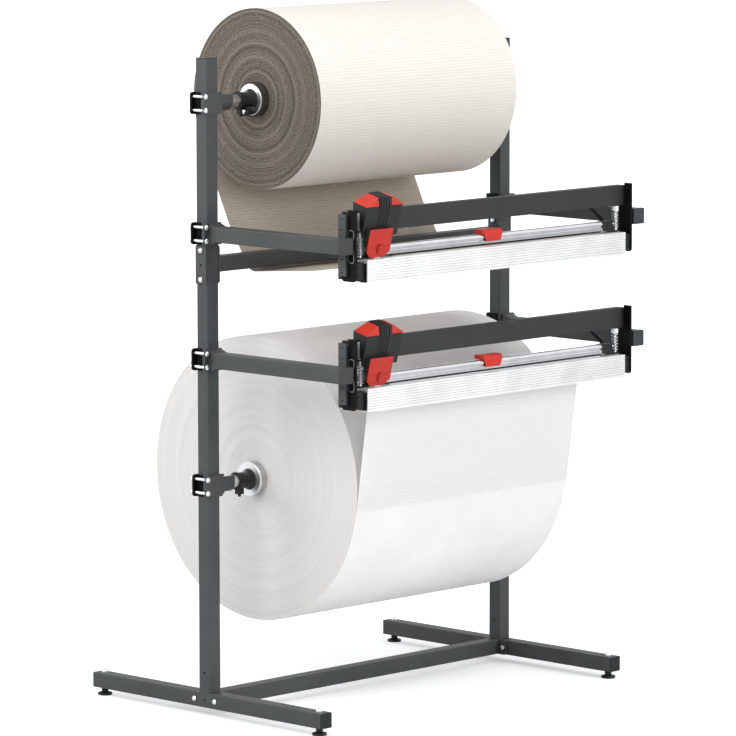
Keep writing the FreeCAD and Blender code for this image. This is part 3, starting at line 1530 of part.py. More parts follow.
def build_blades():
    """Thin blades on the backs of the plate carriers, which run in the cutting slots."""
    for unit, height in UNIT_HEIGHTS:
        blade = new_body(f"Blade{unit}")
        middle = S.head_start + S.plate_start + S.knob_line - HALF_SPAN
        half = S.blade_width / 2
        shoulder = S.blade_clearance - S.table_drop
        tip = -S.table_drop - S.blade_depth
        corners = [
            (middle - half, S.carrier_bottom),
            (middle - half, shoulder),
            (middle - half / 4, tip),
            (middle + half / 4, tip),
            (middle + half, shoulder),
            (middle + half, S.carrier_bottom),
        ]
        sketch = outline(blade, "XZ", corners, offset=S.carrier_back - S.blade_thickness)
        feature(blade, "Pad", sketch, S.blade_thickness)
        place(blade, ZERO, POST_Y, height)
        sub_part(blade, f"{unit}_blade")


# ---------------------------------------------------------------- whole stand


def build_stand():
    build_foot_beams()
    build_posts()
    build_tube_caps()
    build_crossbar("BaseBar", "base_crossbar", FOOT_MIDDLE, S.tube, S.splice_length)
    build_crossbar("MiddleBar", "middle_crossbar", S.joint_height, S.splice_length, S.tube)
    build_splice_plates()
    build_levelling_feet()
    build_bolts()
    build_clamp_yokes()
    build_arms()
    build_arm_caps()
    build_cradles()


def build_cutter_units():
    build_mounting_bars()
    build_end_profiles()
    build_guide_beams()
    build_tables()
    build_end_blocks()
    build_guide_rods()
    build_end_braces()
    build_press_rails()
    build_rail_lips()
    build_rail_end_blocks()
    build_rail_springs()
    build_grips()
    build_head_housings()
    build_head_roofs()
    build_head_sliders()
    build_blade_plates()
    build_lock_knobs()
    build_blades()


def check_and_write():
    """Stops at the first failed object, then writes each sub-part to its own STEP file."""
    for thing in doc.Objects:
        if "Invalid" in thing.State or "Error" in thing.State:
            raise ValueError(f"{thing.Label} failed: {thing.State}")
    os.makedirs("parts", exist_ok=True)
    for thing in SUB_PARTS:
        shape = thing.Shape
        if shape.isNull() or not shape.isValid() or not shape.Solids:
            raise ValueError(f"{thing.Label} has no valid solid")
        shape.exportStep(f"parts/{thing.Label}.step")
        print(f"{thing.Label}: {len(shape.Solids)} solids, {shape.Volume / 1000:.1f} cm3")


build_stand()
build_rolls()
build_webs()
build_cutter_units()
doc.recompute()
check_and_write()
print(f"{len(SUB_PARTS)} sub-parts")
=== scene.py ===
import json
import math

import bmesh
import bpy
from mathutils import Matrix, Vector


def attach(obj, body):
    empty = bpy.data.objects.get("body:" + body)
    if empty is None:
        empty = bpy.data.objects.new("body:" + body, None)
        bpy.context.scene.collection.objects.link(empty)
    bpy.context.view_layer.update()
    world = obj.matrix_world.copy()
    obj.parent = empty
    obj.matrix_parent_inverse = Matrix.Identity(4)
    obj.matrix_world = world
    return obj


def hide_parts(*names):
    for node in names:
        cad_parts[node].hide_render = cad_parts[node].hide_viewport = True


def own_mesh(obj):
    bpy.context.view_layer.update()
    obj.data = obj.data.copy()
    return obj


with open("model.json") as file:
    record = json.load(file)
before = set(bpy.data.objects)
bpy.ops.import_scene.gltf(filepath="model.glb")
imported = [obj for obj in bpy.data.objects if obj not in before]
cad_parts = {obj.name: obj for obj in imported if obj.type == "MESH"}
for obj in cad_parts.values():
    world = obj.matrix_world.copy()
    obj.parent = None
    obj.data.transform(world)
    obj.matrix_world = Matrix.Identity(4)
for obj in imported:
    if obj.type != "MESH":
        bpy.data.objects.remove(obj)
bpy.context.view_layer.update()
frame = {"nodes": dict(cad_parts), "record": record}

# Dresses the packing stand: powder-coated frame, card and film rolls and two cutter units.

# Places shared by several pieces, in metres.
POST_LINE = 0.046
HALF_SPAN = 0.55
UPPER_AXLE, LOWER_AXLE = 1.588, 0.601
CARD_ENDS, FILM_ENDS = (-0.371, 0.363), (-0.383, 0.413)
CARD_RADIUS, FILM_RADIUS, CORE_RADIUS = 0.235, 0.373, 0.0455
UNITS = (("upper", 1.2534), ("lower", 0.9282))
TABLE_DROP = 0.038
WEB_ON_TABLE = 0.0009
TABLE_FRONT_EDGE = -0.4884
TABLE_BACK_EDGE = -0.419


# ---------------------------------------------------------------- materials


class Finish:
    """A node material that is built up step by step from textures on Object coordinates."""

    def __init__(self, name, roughness, metallic=0.0):
        self.material = bpy.data.materials.new(name)
        self.material.use_nodes = True
        self.nodes = self.material.node_tree.nodes
        self.shader = self.nodes["Principled BSDF"]
        self.shader.inputs["Roughness"].default_value = roughness
        self.shader.inputs["Metallic"].default_value = metallic
        self.place = self.node("ShaderNodeTexCoord").outputs["Object"]
        self.height = None

    def node(self, kind, **settings):
        made = self.nodes.new(kind)
        for name, value in settings.items():
            setattr(made, name, value)
        return made

    def join(self, source, target):
        self.material.node_tree.links.new(source, target)

    def stretched(self, scale, location=(0, 0, 0)):
        """Object coordinates about a point, stretched along each axis."""
        mapping = self.node("ShaderNodeMapping")
        mapping.inputs["Location"].default_value = [-at * by for at, by in zip(location, scale)]
        mapping.inputs["Scale"].default_value = scale
        self.join(self.place, mapping.inputs["Vector"])
        return mapping.outputs["Vector"]

    def noise(self, scale, detail=3.0, vector=None, roughness=0.5):
        made = self.node("ShaderNodeTexNoise")
        made.inputs["Scale"].default_value = scale
        made.inputs["Detail"].default_value = detail
        made.inputs["Roughness"].default_value = roughness
        self.join(vector or self.place, made.inputs["Vector"])
        return made.outputs["Fac"]

    def maths(self, operation, first, second=0.0):
        made = self.node("ShaderNodeMath", operation=operation)
        for socket, value in zip(made.inputs, (first, second)):
            if isinstance(value, (int, float)):
                socket.default_value = value
            else:
                self.join(value, socket)
        return made.outputs[0]

    def between(self, factor, low, high, tight=(0.3, 0.7)):
        """A colour ramp from one colour to another."""
        ramp = self.node("ShaderNodeValToRGB")
        for element, position, colour in zip(ramp.color_ramp.elements, tight, (low, high)):
            element.position = position
            element.color = (*colour, 1.0)
        self.join(factor, ramp.inputs["Fac"])
        return ramp.outputs["Color"]

    def painted_corner_shade(self, tones, reach):
        """The same tones with painted shade, darker in grooves and corners where the ambient
        occlusion finds them.
        """
        made = self.node("ShaderNodeAmbientOcclusion", samples=8)
        made.inputs["Distance"].default_value = reach
        self.join(tones, made.inputs["Color"])
        return made.outputs["Color"]

    def colour(self, output):
        self.join(output, self.shader.inputs["Base Color"])

    def gloss(self, factor, low, high):
        made = self.node("ShaderNodeMapRange")
        made.inputs["To Min"].default_value = low
        made.inputs["To Max"].default_value = high
        self.join(factor, made.inputs["Value"])
        self.join(made.outputs["Result"], self.shader.inputs["Roughness"])

    def bump(self, height, distance, strength=1.0):
        made = self.node("ShaderNodeBump")
        made.inputs["Distance"].default_value = distance
        made.inputs["Strength"].default_value = strength
        self.join(height, made.inputs["Height"])
        if self.height:
            self.join(self.height, made.inputs["Normal"])
        self.height = made.outputs["Normal"]
        self.join(self.height, self.shader.inputs["Normal"])


def shade(colour, by):
    return tuple(min(1.0, channel * by) for channel in colour)


def powder_coat(name, colour, shine=0.45):
    """Matt paint with orange peel, and faint dust in patches."""
    paint = Finish(name, 0.5)
    paint.shader.inputs["Specular IOR Level"].default_value = shine
    patches = paint.noise(9.0, 4.0)
    paint.colour(paint.between(patches, shade(colour, 0.88), shade(colour, 1.12)))
    paint.gloss(paint.noise(60.0, 3.0), 0.42, 0.6)
    paint.bump(paint.noise(900.0, 2.0), 0.0003, 0.35)
    return paint.material


def moulded_plastic(name, colour, roughness, grain=1400.0, depth=0.0002, shine=0.5):
    """Plastic with a fine moulded grain, slight changes of tone and painted shade in its inner
    corners.
    """
    plastic = Finish(name, roughness)
    plastic.shader.inputs["Specular IOR Level"].default_value = shine
    tone = plastic.noise(14.0, 3.0)
    tones = plastic.between(tone, shade(colour, 0.9), shade(colour, 1.08))
    # painted shade: ambient occlusion darkens the tones in inner corners
    plastic.colour(plastic.painted_corner_shade(tones, 0.004))
    plastic.gloss(plastic.noise(90.0, 2.0), roughness * 0.85, roughness * 1.15)
    plastic.bump(plastic.noise(grain, 2.0), depth, 0.3)
    return plastic.material


def worked_metal(name, colour, roughness, grain=(4.0, 400.0, 400.0), depth=0.00008, metallic=1.0):
    """Metal with fine lines along its length, a little staining and painted shade in its grooves."""
    metal = Finish(name, roughness, metallic=metallic)
    lines = metal.noise(3.0, 3.0, metal.stretched(grain))
    stain = metal.noise(18.0, 4.0)
    tones = metal.between(stain, shade(colour, 0.9), shade(colour, 1.04))
    # painted shade: ambient occlusion darkens the tones in grooves
    metal.colour(metal.painted_corner_shade(tones, 0.0015))
    metal.gloss(lines, roughness * 0.75, roughness * 1.3)
    metal.bump(lines, depth, 0.4)
    return metal.material


def about_axle(finish, height):
    """Distance from a roll's axle, and the angle round it."""
    centred = finish.stretched((0.0, 1.0, 1.0), (0.0, POST_LINE, height))
    length = finish.node("ShaderNodeVectorMath", operation="LENGTH")
    finish.join(centred, length.inputs[0])
    split = finish.node("ShaderNodeSeparateXYZ")
    finish.join(centred, split.inputs[0])
    angle = finish.maths("ARCTAN2", split.outputs["Z"], split.outputs["Y"])
    return length.outputs["Value"], angle


def wound_end(name, height, layer, dark, light, cells=0.0, depth=0.0006, spread=0.16):
    """The end of a wound roll: layers, rings where the winding shifted, and open flutes."""
    end = Finish(name, 0.85)
    end.shader.inputs["Specular IOR Level"].default_value = 0.15
    radius, _ = about_axle(end, height)
    wander = end.maths("MULTIPLY", end.noise(7.0, 2.0), 0.012)
    along = end.node("ShaderNodeCombineXYZ")
    end.join(end.maths("ADD", radius, wander), along.inputs["X"])
    rings = end.noise(75.0, 6.0, along.outputs[0], 0.75)
    turns = end.maths("MULTIPLY", end.maths("ADD", radius, wander), 2 * math.pi / layer)
    layers = end.maths("SINE", turns)
    flutes = end.noise(330.0, 2.0, None, 0.6)
    fibres = end.noise(1300.0, 2.0)
    tone = end.maths("MULTIPLY", rings, 0.62)
    tone = end.maths("ADD", tone, end.maths("MULTIPLY", flutes, 0.12 + cells))
    tone = end.maths("ADD", tone, end.maths("MULTIPLY", fibres, 0.12 + cells * 0.4))
    tone = end.maths("ADD", tone, end.maths("MULTIPLY", layers, 0.05))
    tone = end.maths("DIVIDE", tone, 0.86 + cells * 1.4)
    end.colour(end.between(tone, dark, light, (0.5 - spread, 0.5 + spread)))
    end.bump(layers, depth, 0.5)
    end.bump(rings, 0.004, 0.4)
    return end.material


def rolled_card(name, height, radius, pitch, dark, light):
    """The outside of the card roll, with faint flutes along the axle."""
    card = Finish(name, 0.82)
    card.shader.inputs["Specular IOR Level"].default_value = 0.2
    _, angle = about_axle(card, height)
    flutes = card.maths("SINE", card.maths("MULTIPLY", angle, 2 * math.pi * radius / pitch))
    flutes = card.maths("ADD", card.maths("MULTIPLY", flutes, 0.5), 0.5)
    fibre = card.noise(8.0, 5.0, card.stretched((4.0, 30.0, 30.0)))
    tone = card.maths("ADD", card.maths("MULTIPLY", flutes, 0.3), card.maths("MULTIPLY", fibre, 0.7))
    card.colour(card.between(tone, dark, light, (0.2, 0.75)))
    card.bump(flutes, 0.0006, 0.4)
    card.bump(fibre, 0.0004, 0.3)
    return card.material


def drawn_web(name, pitch, dark, light, depth, roughness, glow=0.0):
    """A web that has left its roll: flutes across the run, and light that glows through film."""
    web = Finish(name, roughness)
    web.shader.inputs["Subsurface Weight"].default_value = glow
    web.shader.inputs["Subsurface Radius"].default_value = (1.0, 1.0, 1.0)
    web.shader.inputs["Subsurface Scale"].default_value = 0.006
    uv = web.node("ShaderNodeUVMap", uv_map="UVMap")
    split = web.node("ShaderNodeSeparateXYZ")
    web.join(uv.outputs[0], split.inputs[0])
    flutes = web.maths("SINE", web.maths("MULTIPLY", split.outputs["Y"], 2 * math.pi / pitch))
    flutes = web.maths("ADD", web.maths("MULTIPLY", flutes, 0.5), 0.5)
    fibre = web.noise(10.0, 5.0, web.stretched((3.0, 20.0, 20.0)))
    tone = web.maths("ADD", web.maths("MULTIPLY", flutes, 0.22), web.maths("MULTIPLY", fibre, 0.78))
    web.colour(web.between(tone, dark, light, (0.2, 0.75)))
    web.bump(flutes, depth, 0.5)
    web.bump(fibre, 0.0005, 0.3)
    return web.material


def wound_foam(name):
    """The outside of the film roll: soft white, faintly pebbled."""
    foam = Finish(name, 0.6)
    tone = foam.noise(5.0, 4.0)
    foam.colour(foam.between(tone, (0.8, 0.785, 0.78), (0.87, 0.855, 0.85)))
    foam.bump(foam.noise(160.0, 3.0), 0.0012, 0.35)
    foam.bump(foam.noise(6.0, 3.0, foam.stretched((1.0, 2.5, 2.5))), 0.006, 0.25)
    return foam.material


ANTHRACITE = (0.043, 0.049, 0.0495)
RED = (0.5, 0.022, 0.01)

frame_paint = powder_coat("frame_powder_coat", ANTHRACITE)
beam_paint = powder_coat("beam_powder_coat", (0.022, 0.0235, 0.025), 0.3)
black_paint = powder_coat("black_powder_coat", (0.004, 0.004, 0.0044), 0.1)
black_plastic = moulded_plastic("black_moulding", (0.009, 0.009, 0.0095), 0.45, shine=0.3)
housing_plastic = moulded_plastic("housing_moulding", (0.02, 0.0205, 0.0205), 0.5, shine=0.25)
cap_plastic = moulded_plastic("arm_cap_moulding", (0.038, 0.04, 0.042), 0.5, shine=0.3)
red_plastic = moulded_plastic("red_moulding", shade(RED, 1.08), 0.4, shine=0.35)
red_paint = moulded_plastic("red_lacquered_plate", RED, 0.38, 700.0, 0.0001, 0.35)
soft_rubber = moulded_plastic("rubber_lip", (0.012, 0.012, 0.012), 0.75, shine=0.2)
zinc = worked_metal("zinc_plate", (0.9, 0.9, 0.91), 0.34, (60.0, 60.0, 60.0))
bright_steel = worked_metal("drawn_steel", (0.66, 0.66, 0.67), 0.3)
slider_metal = worked_metal("slider_face", (0.85, 0.85, 0.85), 0.5, metallic=0.6)
spring_steel = worked_metal("spring_wire", (0.45, 0.45, 0.46), 0.3, (60.0, 60.0, 60.0))
rim_metal = worked_metal("slot_rim", (0.5, 0.5, 0.51), 0.4, (60.0, 60.0, 60.0))
chrome = worked_metal("rail_chrome", (0.9, 0.9, 0.92), 0.14)
table_metal = worked_metal("table_extrusion", (0.86, 0.86, 0.865), 0.42, metallic=0.75)
# The upper core is coloured near black: painted shade for the shadowed hole inside the core.
core_board_painted_shade = wound_end("core_board_painted_shade", UPPER_AXLE, 0.0011, (0.02, 0.018, 0.016), (0.09, 0.078, 0.066))
pale_board = wound_end("pale_board", LOWER_AXLE, 0.0011, (0.3, 0.29, 0.28), (0.55, 0.54, 0.52))

FINISHES = {
    "frame_paint": frame_paint,
    "black_parts": black_plastic,
    "black_steel": black_paint,
    "zinc": zinc,
    "bright_steel": bright_steel,
    "rail_chrome": chrome,
    "table_aluminium": table_metal,
    "red_plastic": red_plastic,
    "red_paint": red_paint,
    "rubber_lip": soft_rubber,
    # the upper core: near black, painted shade of its hollow
    "core_card": core_board_painted_shade,
}

BODY_OF = {
    node: body
    for body, nodes in frame["record"]["behaviour"]["bodies"].items()
    for node in nodes
}
SLOT_OF = {piece["node"]: piece["material_slot"] for piece in frame["record"]["subparts"]}


# ---------------------------------------------------------------- ways of making pieces


def deselect():
    if bpy.context.object and bpy.context.object.mode != "OBJECT":
        bpy.ops.object.mode_set(mode="OBJECT")
    bpy.ops.object.select_all(action="DESELECT")


def only(piece):
    deselect()
    piece.select_set(True)
    bpy.context.view_layer.objects.active = piece


def edit(piece):
    only(piece)
    bpy.ops.object.mode_set(mode="EDIT")
    bpy.ops.mesh.select_all(action="DESELECT")


def done():
    bpy.ops.object.mode_set(mode="OBJECT")


def settle(piece):
    """Puts the place of a piece into its mesh, so that its object sits at the origin."""
    only(piece)
    bpy.ops.object.transform_apply(location=True, rotation=True, scale=True)


def apply_modifier(piece, kind, **settings):
    only(piece)
    modifier = piece.modifiers.new(kind.title(), kind)
    for name, value in settings.items():
        setattr(modifier, name, value)
    bpy.ops.object.modifier_apply(modifier=modifier.name)


def smooth(piece, angle):
    only(piece)
    bpy.ops.object.shade_smooth_by_angle(angle=math.radians(angle))


def coat(piece, *materials):
    piece.data.materials.clear()
    for material in materials:
        piece.data.materials.append(material)


def joined(parts, name):
    """Several parts made one piece."""
    deselect()
    for part in parts:
        part.select_set(True)
    bpy.context.view_layer.objects.active = parts[0]
    bpy.ops.object.join()
    piece = bpy.context.object
    piece.name = name
    return piece


def stands_for(piece, node):
    """A finished piece takes the place of a node and rides on its body."""
    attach(piece, BODY_OF[node])
    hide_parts(node)


def softened(node, radius, reshape=None):
    """A copy of a rigid node with its edges broken, as moulding and folding leave them."""
    source = frame["nodes"][node]
    piece = source.copy()
    piece.data = source.data.copy()
    piece.name = node + "_finished"
    piece.parent = None
    bpy.context.scene.collection.objects.link(piece)
    edit(piece)
    bpy.ops.mesh.select_all(action="SELECT")
    bpy.ops.mesh.remove_doubles(threshold=0.00002)
    bpy.ops.mesh.dissolve_limited(angle_limit=math.radians(0.6))
    if reshape:
        reshape(piece)
    done()
    apply_modifier(
        piece,
        "BEVEL",
        width=radius,
        segments=2,
        limit_method="ANGLE",
        angle_limit=math.radians(40),
        use_clamp_overlap=True,
    )
    smooth(piece, 38)
    apply_modifier(piece, "WEIGHTED_NORMAL", keep_sharp=True)
    coat(piece, OWN_FINISH.get(node, FINISHES[SLOT_OF[node]]))
    stands_for(piece, node)


# ---------------------------------------------------------------- rolls and webs


def wound_roll(name, node, ends, height, radius, side, end, rings, shift):
    """A roll whose ends show the uneven edges of its layers."""
    low, high = ends
    lip, hair = 0.12, 0.0006
    deselect()
    bpy.ops.mesh.primitive_cylinder_add(
        vertices=128,
        radius=radius - hair,
        depth=high - low,
        location=((low + high) / 2, POST_LINE, height),
        rotation=(0, math.pi / 2, 0),
    )
    piece = bpy.context.object
    piece.name = name
    settle(piece)
    coat(piece, side, end)
    for sign in (-1, 1):
        edit(piece)
        mesh = bmesh.from_edit_mesh(piece.data)
        for face in mesh.faces:
            face.select = face.normal.x * sign > 0.9
        bmesh.update_edit_mesh(piece.data)
        piece.active_material_index = 1
        bpy.ops.object.material_slot_assign()
        step = (radius - CORE_RADIUS) / rings
        for ring in range(rings):
            bpy.ops.mesh.inset(thickness=step * lip)
            out = shift * math.sin(ring * 2.4 + sign) * (0.35 + 0.65 * math.cos(ring * 1.3) ** 2)
            bpy.ops.transform.translate(value=(out * sign, 0, 0))
            bpy.ops.mesh.inset(thickness=step * (1 - lip))
        bpy.ops.mesh.delete(type="FACE")
        done()
    smooth(piece, 60)
    stands_for(piece, node)


def even_path(corners, rounding, step):
    """Points at an even step along straight runs with rounded corners, and their length."""
    spots = [Vector(corner) for corner in corners]
    dense = [spots[0]]
    for before, corner, after, radius in zip(spots, spots[1:], spots[2:], rounding):
        back = (before - corner).normalized()
        forward = (after - corner).normalized()
        reach = radius / math.tan(back.angle(forward) / 2)
        first, last = corner + back * reach, corner + forward * reach
        for share in (index / 24 for index in range(25)):
            ahead = first.lerp(corner, share)
            behind = corner.lerp(last, share)
            dense.append(ahead.lerp(behind, share))
    dense.append(spots[-1])
    lengths = [0.0]
    for start, end in zip(dense, dense[1:]):
        lengths.append(lengths[-1] + (end - start).length)
    count = max(8, round(lengths[-1] / step))
    path, index = [], 0
    for number in range(count + 1):
        goal = lengths[-1] * number / count
        while index < len(dense) - 2 and lengths[index + 1] < goal:
            index += 1
        run = lengths[index + 1] - lengths[index]
        share = (goal - lengths[index]) / run if run else 0.0
        path.append(dense[index].lerp(dense[index + 1], share))
    return path, lengths[-1]


def hanging_web(name, node, ends, corners, rounding, material):
    """A thin sheet along a path of (y, z) corners, with its width along the rolls."""
    left, right = ends
    path, length = even_path(corners, rounding, 0.008)
    deselect()
    bpy.ops.mesh.primitive_grid_add(x_subdivisions=40, y_subdivisions=len(path) - 1, size=1)
    piece = bpy.context.object
    piece.name = name
    mesh = piece.data
    width = right - left
    for vertex in mesh.vertices:
        across = vertex.co.x + 0.5
        spot = path[round((vertex.co.y + 0.5) * (len(path) - 1))]
        vertex.co = (left + width * across, POST_LINE + spot.x, spot.y)
    for loop in mesh.uv_layers.active.data:
        loop.uv = (loop.uv[0] * width, loop.uv[1] * length)
    mesh.uv_layers.active.name = "UVMap"
    apply_modifier(piece, "SOLIDIFY", thickness=0.0016, offset=0.0)
    edit(piece)
    bpy.ops.mesh.select_all(action="SELECT")
    bpy.ops.mesh.normals_make_consistent(inside=False)
    done()
    smooth(piece, 50)
    coat(piece, material)
    stands_for(piece, node)


def make_rolls():
    card_end = wound_end(
        "card_roll_end",
        UPPER_AXLE,
        0.004,
        (0.016, 0.012, 0.009),
        (0.28, 0.244, 0.2),
        cells=0.3,
        spread=0.095,
    )
    card_side = rolled_card(
        "card_roll_side",
        UPPER_AXLE,
        CARD_RADIUS,
        0.008,
        (0.69, 0.66, 0.613),
        (0.785, 0.758, 0.716),
    )
    film_end = wound_end(
        "film_roll_end",
        LOWER_AXLE,
        0.003,
        (0.65, 0.634, 0.614),
        (0.75, 0.734, 0.718),
        depth=0.0003,
    )
    film_side = wound_foam("film_roll_side")
    card = "card_roll_wound", "card_roll"
    wound_roll(*card, CARD_ENDS, UPPER_AXLE, CARD_RADIUS, card_side, card_end, 14, 0.0011)
    film = "film_roll_wound", "film_roll"
    wound_roll(*film, FILM_ENDS, LOWER_AXLE, FILM_RADIUS, film_side, film_end, 18, 0.0008)


def make_webs():
    card = drawn_web("card_web_face", 0.008, (0.37, 0.32, 0.265), (0.52, 0.455, 0.385), 0.0006, 0.85)
    film = drawn_web(
        "film_web_face", 0.01, (0.76, 0.75, 0.745), (0.82, 0.81, 0.805), 0.00012, 0.6, glow=0.35
    )
    upper_table, lower_table = (arm - TABLE_DROP + WEB_ON_TABLE for _, arm in UNITS)
    off_card_roll, off_film_roll = (0.2136, 1.4854), (-0.3705, 0.5490)
    under_crossbar = 1.139
    card_run = [
        off_card_roll,
        (0.105, 1.258),
        (0.026, under_crossbar),
        (-0.269, under_crossbar + 0.024),
        (TABLE_BACK_EDGE, upper_table),
        (TABLE_FRONT_EDGE, upper_table),
    ]
    film_run = [
        off_film_roll,
        (TABLE_BACK_EDGE, lower_table),
        (TABLE_FRONT_EDGE, lower_table),
    ]
    card_bends = [0.25, 0.032, 0.6, 0.04]
    film_bends = [0.008]
    hanging_web("card_web_drawn", "card_web", CARD_ENDS, card_run, card_bends, card)
    hanging_web("film_web_drawn", "film_web", FILM_ENDS, film_run, film_bends, film)


# ---------------------------------------------------------------- cutter units


def make_rail_springs(unit, arm):
    """Bright coils between the bushes and the collars, at both ends of the rail."""
    wire, radius, turns = 0.0018, 0.0081, 6
    foot, top = arm - 0.0332, arm + 0.0177
    rod_inset, rod_line = 0.0685, 0.48
    coils = []
    for rod in (-HALF_SPAN + rod_inset, HALF_SPAN - rod_inset):
        deselect()
        bpy.ops.mesh.primitive_circle_add(
            vertices=8, radius=wire, location=(radius, 0, 0), rotation=(math.pi / 2, 0, 0)
        )
        coil = bpy.context.object
        settle(coil)
        apply_modifier(
            coil,
            "SCREW",
            angle=turns * 2 * math.pi,
            screw_offset=top - foot - wire * 2,
            steps=turns * 20,
            render_steps=turns * 20,
            axis="Z",
        )
        edit(coil)
        bpy.ops.mesh.select_non_manifold()
        bpy.ops.mesh.edge_face_add()
        bpy.ops.mesh.select_all(action="SELECT")
        bpy.ops.mesh.normals_make_consistent(inside=False)
        done()
        coil.location = (rod, POST_LINE - rod_line, foot + wire)
        settle(coil)
        coils.append(coil)
    springs = joined(coils, unit + "_rail_coils")
    smooth(springs, 60)
    coat(springs, spring_steel)
    stands_for(springs, unit + "_rail_springs")
    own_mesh(springs)


def make_grip(unit, arm):
    """The lifting grip, whose front flap tapers to its lower edge."""
    bend, edge = arm - 0.002, arm - 0.026
    flap_line = POST_LINE - 0.484
    narrowing = 0.24

    def taper(piece):
        mesh = bmesh.from_edit_mesh(piece.data)
        for vertex in mesh.verts:
            share = (bend - vertex.co.z) / (bend - edge)
            if share > 0 and vertex.co.y < flap_line:
                vertex.co.x *= 1 - narrowing * min(share, 1.0)
        bmesh.update_edit_mesh(piece.data)

    softened(unit + "_rail_grip", 0.0012, reshape=taper)


def make_housing(unit, arm):
    """The head's housing; its ribbed band leans back below the roof, along the housing."""
    roof_edge = arm + 0.094
    tab_top = arm + 0.038
    band_line = POST_LINE - 0.5152
    tab_line = POST_LINE - 0.512
    band_foot = POST_LINE - 0.5006
    lean_back = 0.26
    hair = 0.0001

    def lean(piece):
        bpy.ops.mesh.select_all(action="SELECT")
        bpy.ops.mesh.bisect(plane_co=(0, 0, roof_edge), plane_no=(0, 0, 1))
        mesh = bmesh.from_edit_mesh(piece.data)
        band = [vertex for vertex in mesh.verts if vertex.co.y < band_line]
        left = min(vertex.co.x for vertex in band) - hair
        right = max(vertex.co.x for vertex in band) + hair
        ledge = [
            vertex
            for vertex in mesh.verts
            if left < vertex.co.x < right
            and vertex.co.z < tab_top + 5 * hair
            and band_line < vertex.co.y < tab_line
        ]
        for vertex in band:
            if vertex.co.z < roof_edge - 10 * hair:
                vertex.co.y += (roof_edge - vertex.co.z) * lean_back
        for vertex in ledge:
            vertex.co.y = band_foot
        bmesh.update_edit_mesh(piece.data)

    softened(unit + "_head_housing", 0.0008, reshape=lean)


def make_slot_rings(unit, arm):
    """Bright rims of the blind slots in the outer faces of the end profiles."""
    outer_face, slot_line, slot_height = 0.5216, POST_LINE - 0.4892, arm - 0.003
    length, width, rim = 0.083, 0.0195, 0.0011
    for sign, side in ((-1, "left"), (1, "right")):
        deselect()
        bpy.ops.mesh.primitive_plane_add(
            size=1,
            location=(sign * outer_face, slot_line, slot_height),
            rotation=(0, math.pi / 2 * sign, 0),
        )
        ring = bpy.context.object
        ring.scale = (length, width, 1)
        ring.name = f"{unit}_{side}_slot_rim"
        settle(ring)
        edit(ring)
        bpy.ops.mesh.select_all(action="SELECT")
        bpy.ops.mesh.bevel(offset=width * 0.4, segments=6, affect="VERTICES")
        bpy.ops.mesh.select_all(action="SELECT")
        bpy.ops.mesh.inset(thickness=rim)
        bpy.ops.mesh.delete(type="FACE")
        done()
        apply_modifier(ring, "SOLIDIFY", thickness=0.0004, offset=1.0)
        smooth(ring, 50)
        coat(ring, rim_metal)
        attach(ring, "stand")


def make_clamp_lugs():
    """Black clamp lugs with bright screws under the card roll's hubs, turned to the front."""
    for side, middle, outward in (("left", -0.414, -1), ("right", 0.408, 1)):
        deselect()
        bpy.ops.mesh.primitive_cube_add(size=1, location=(middle, POST_LINE, UPPER_AXLE - 0.03))
        block = bpy.context.object
        block.scale = (0.03, 0.034, 0.02)
        deselect()
        bpy.ops.mesh.primitive_cylinder_add(
            vertices=24,
            radius=0.006,
            depth=0.006,
            location=(middle + outward * 0.0165, POST_LINE - 0.006, UPPER_AXLE - 0.031),
            rotation=(0, math.pi / 2, 0),
        )
        screw = bpy.context.object
        for part, material in ((block, black_plastic), (screw, zinc)):
            settle(part)
            apply_modifier(part, "BEVEL", width=0.0016, segments=2, limit_method="ANGLE")
            coat(part, material)
        lug = joined([block, screw], f"card_roll_{side}_clamp_lug")
        edit(lug)
        bpy.ops.mesh.select_all(action="SELECT")
        bpy.ops.transform.rotate(
            value=math.radians(14),
            orient_axis="X",
            orient_type="GLOBAL",
            center_override=(0, POST_LINE, UPPER_AXLE),
        )
        done()
        smooth(lug, 38)
        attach(lug, BODY_OF["upper_hubs"])


# ---------------------------------------------------------------- stage, light and camera


def white_floor():
    """Pale floor that keeps the soft shadow and turns white further out."""
    pale = Finish("studio_floor_paint", 0.9)
    pale.colour(pale.between(pale.noise(0.4, 2.0), (0.83, 0.83, 0.83), (0.85, 0.85, 0.85)))
    away = pale.node("ShaderNodeVectorMath", operation="LENGTH")
    pale.join(pale.stretched((1.0, 1.0, 0.0)), away.inputs[0])
    lift = pale.node("ShaderNodeMapRange", interpolation_type="SMOOTHSTEP")
    for socket, value in (("From Min", 0.5), ("From Max", 1.7), ("To Min", 0.36), ("To Max", 1.0)):
        lift.inputs[socket].default_value = value
    pale.join(away.outputs["Value"], lift.inputs["Value"])
    seen = pale.node("ShaderNodeLightPath").outputs["Is Camera Ray"]
    pale.shader.inputs["Emission Color"].default_value = (1.0, 1.0, 1.0, 1.0)
    strength = pale.maths("MULTIPLY", seen, lift.outputs["Result"])
    pale.join(strength, pale.shader.inputs["Emission Strength"])
    return pale.material


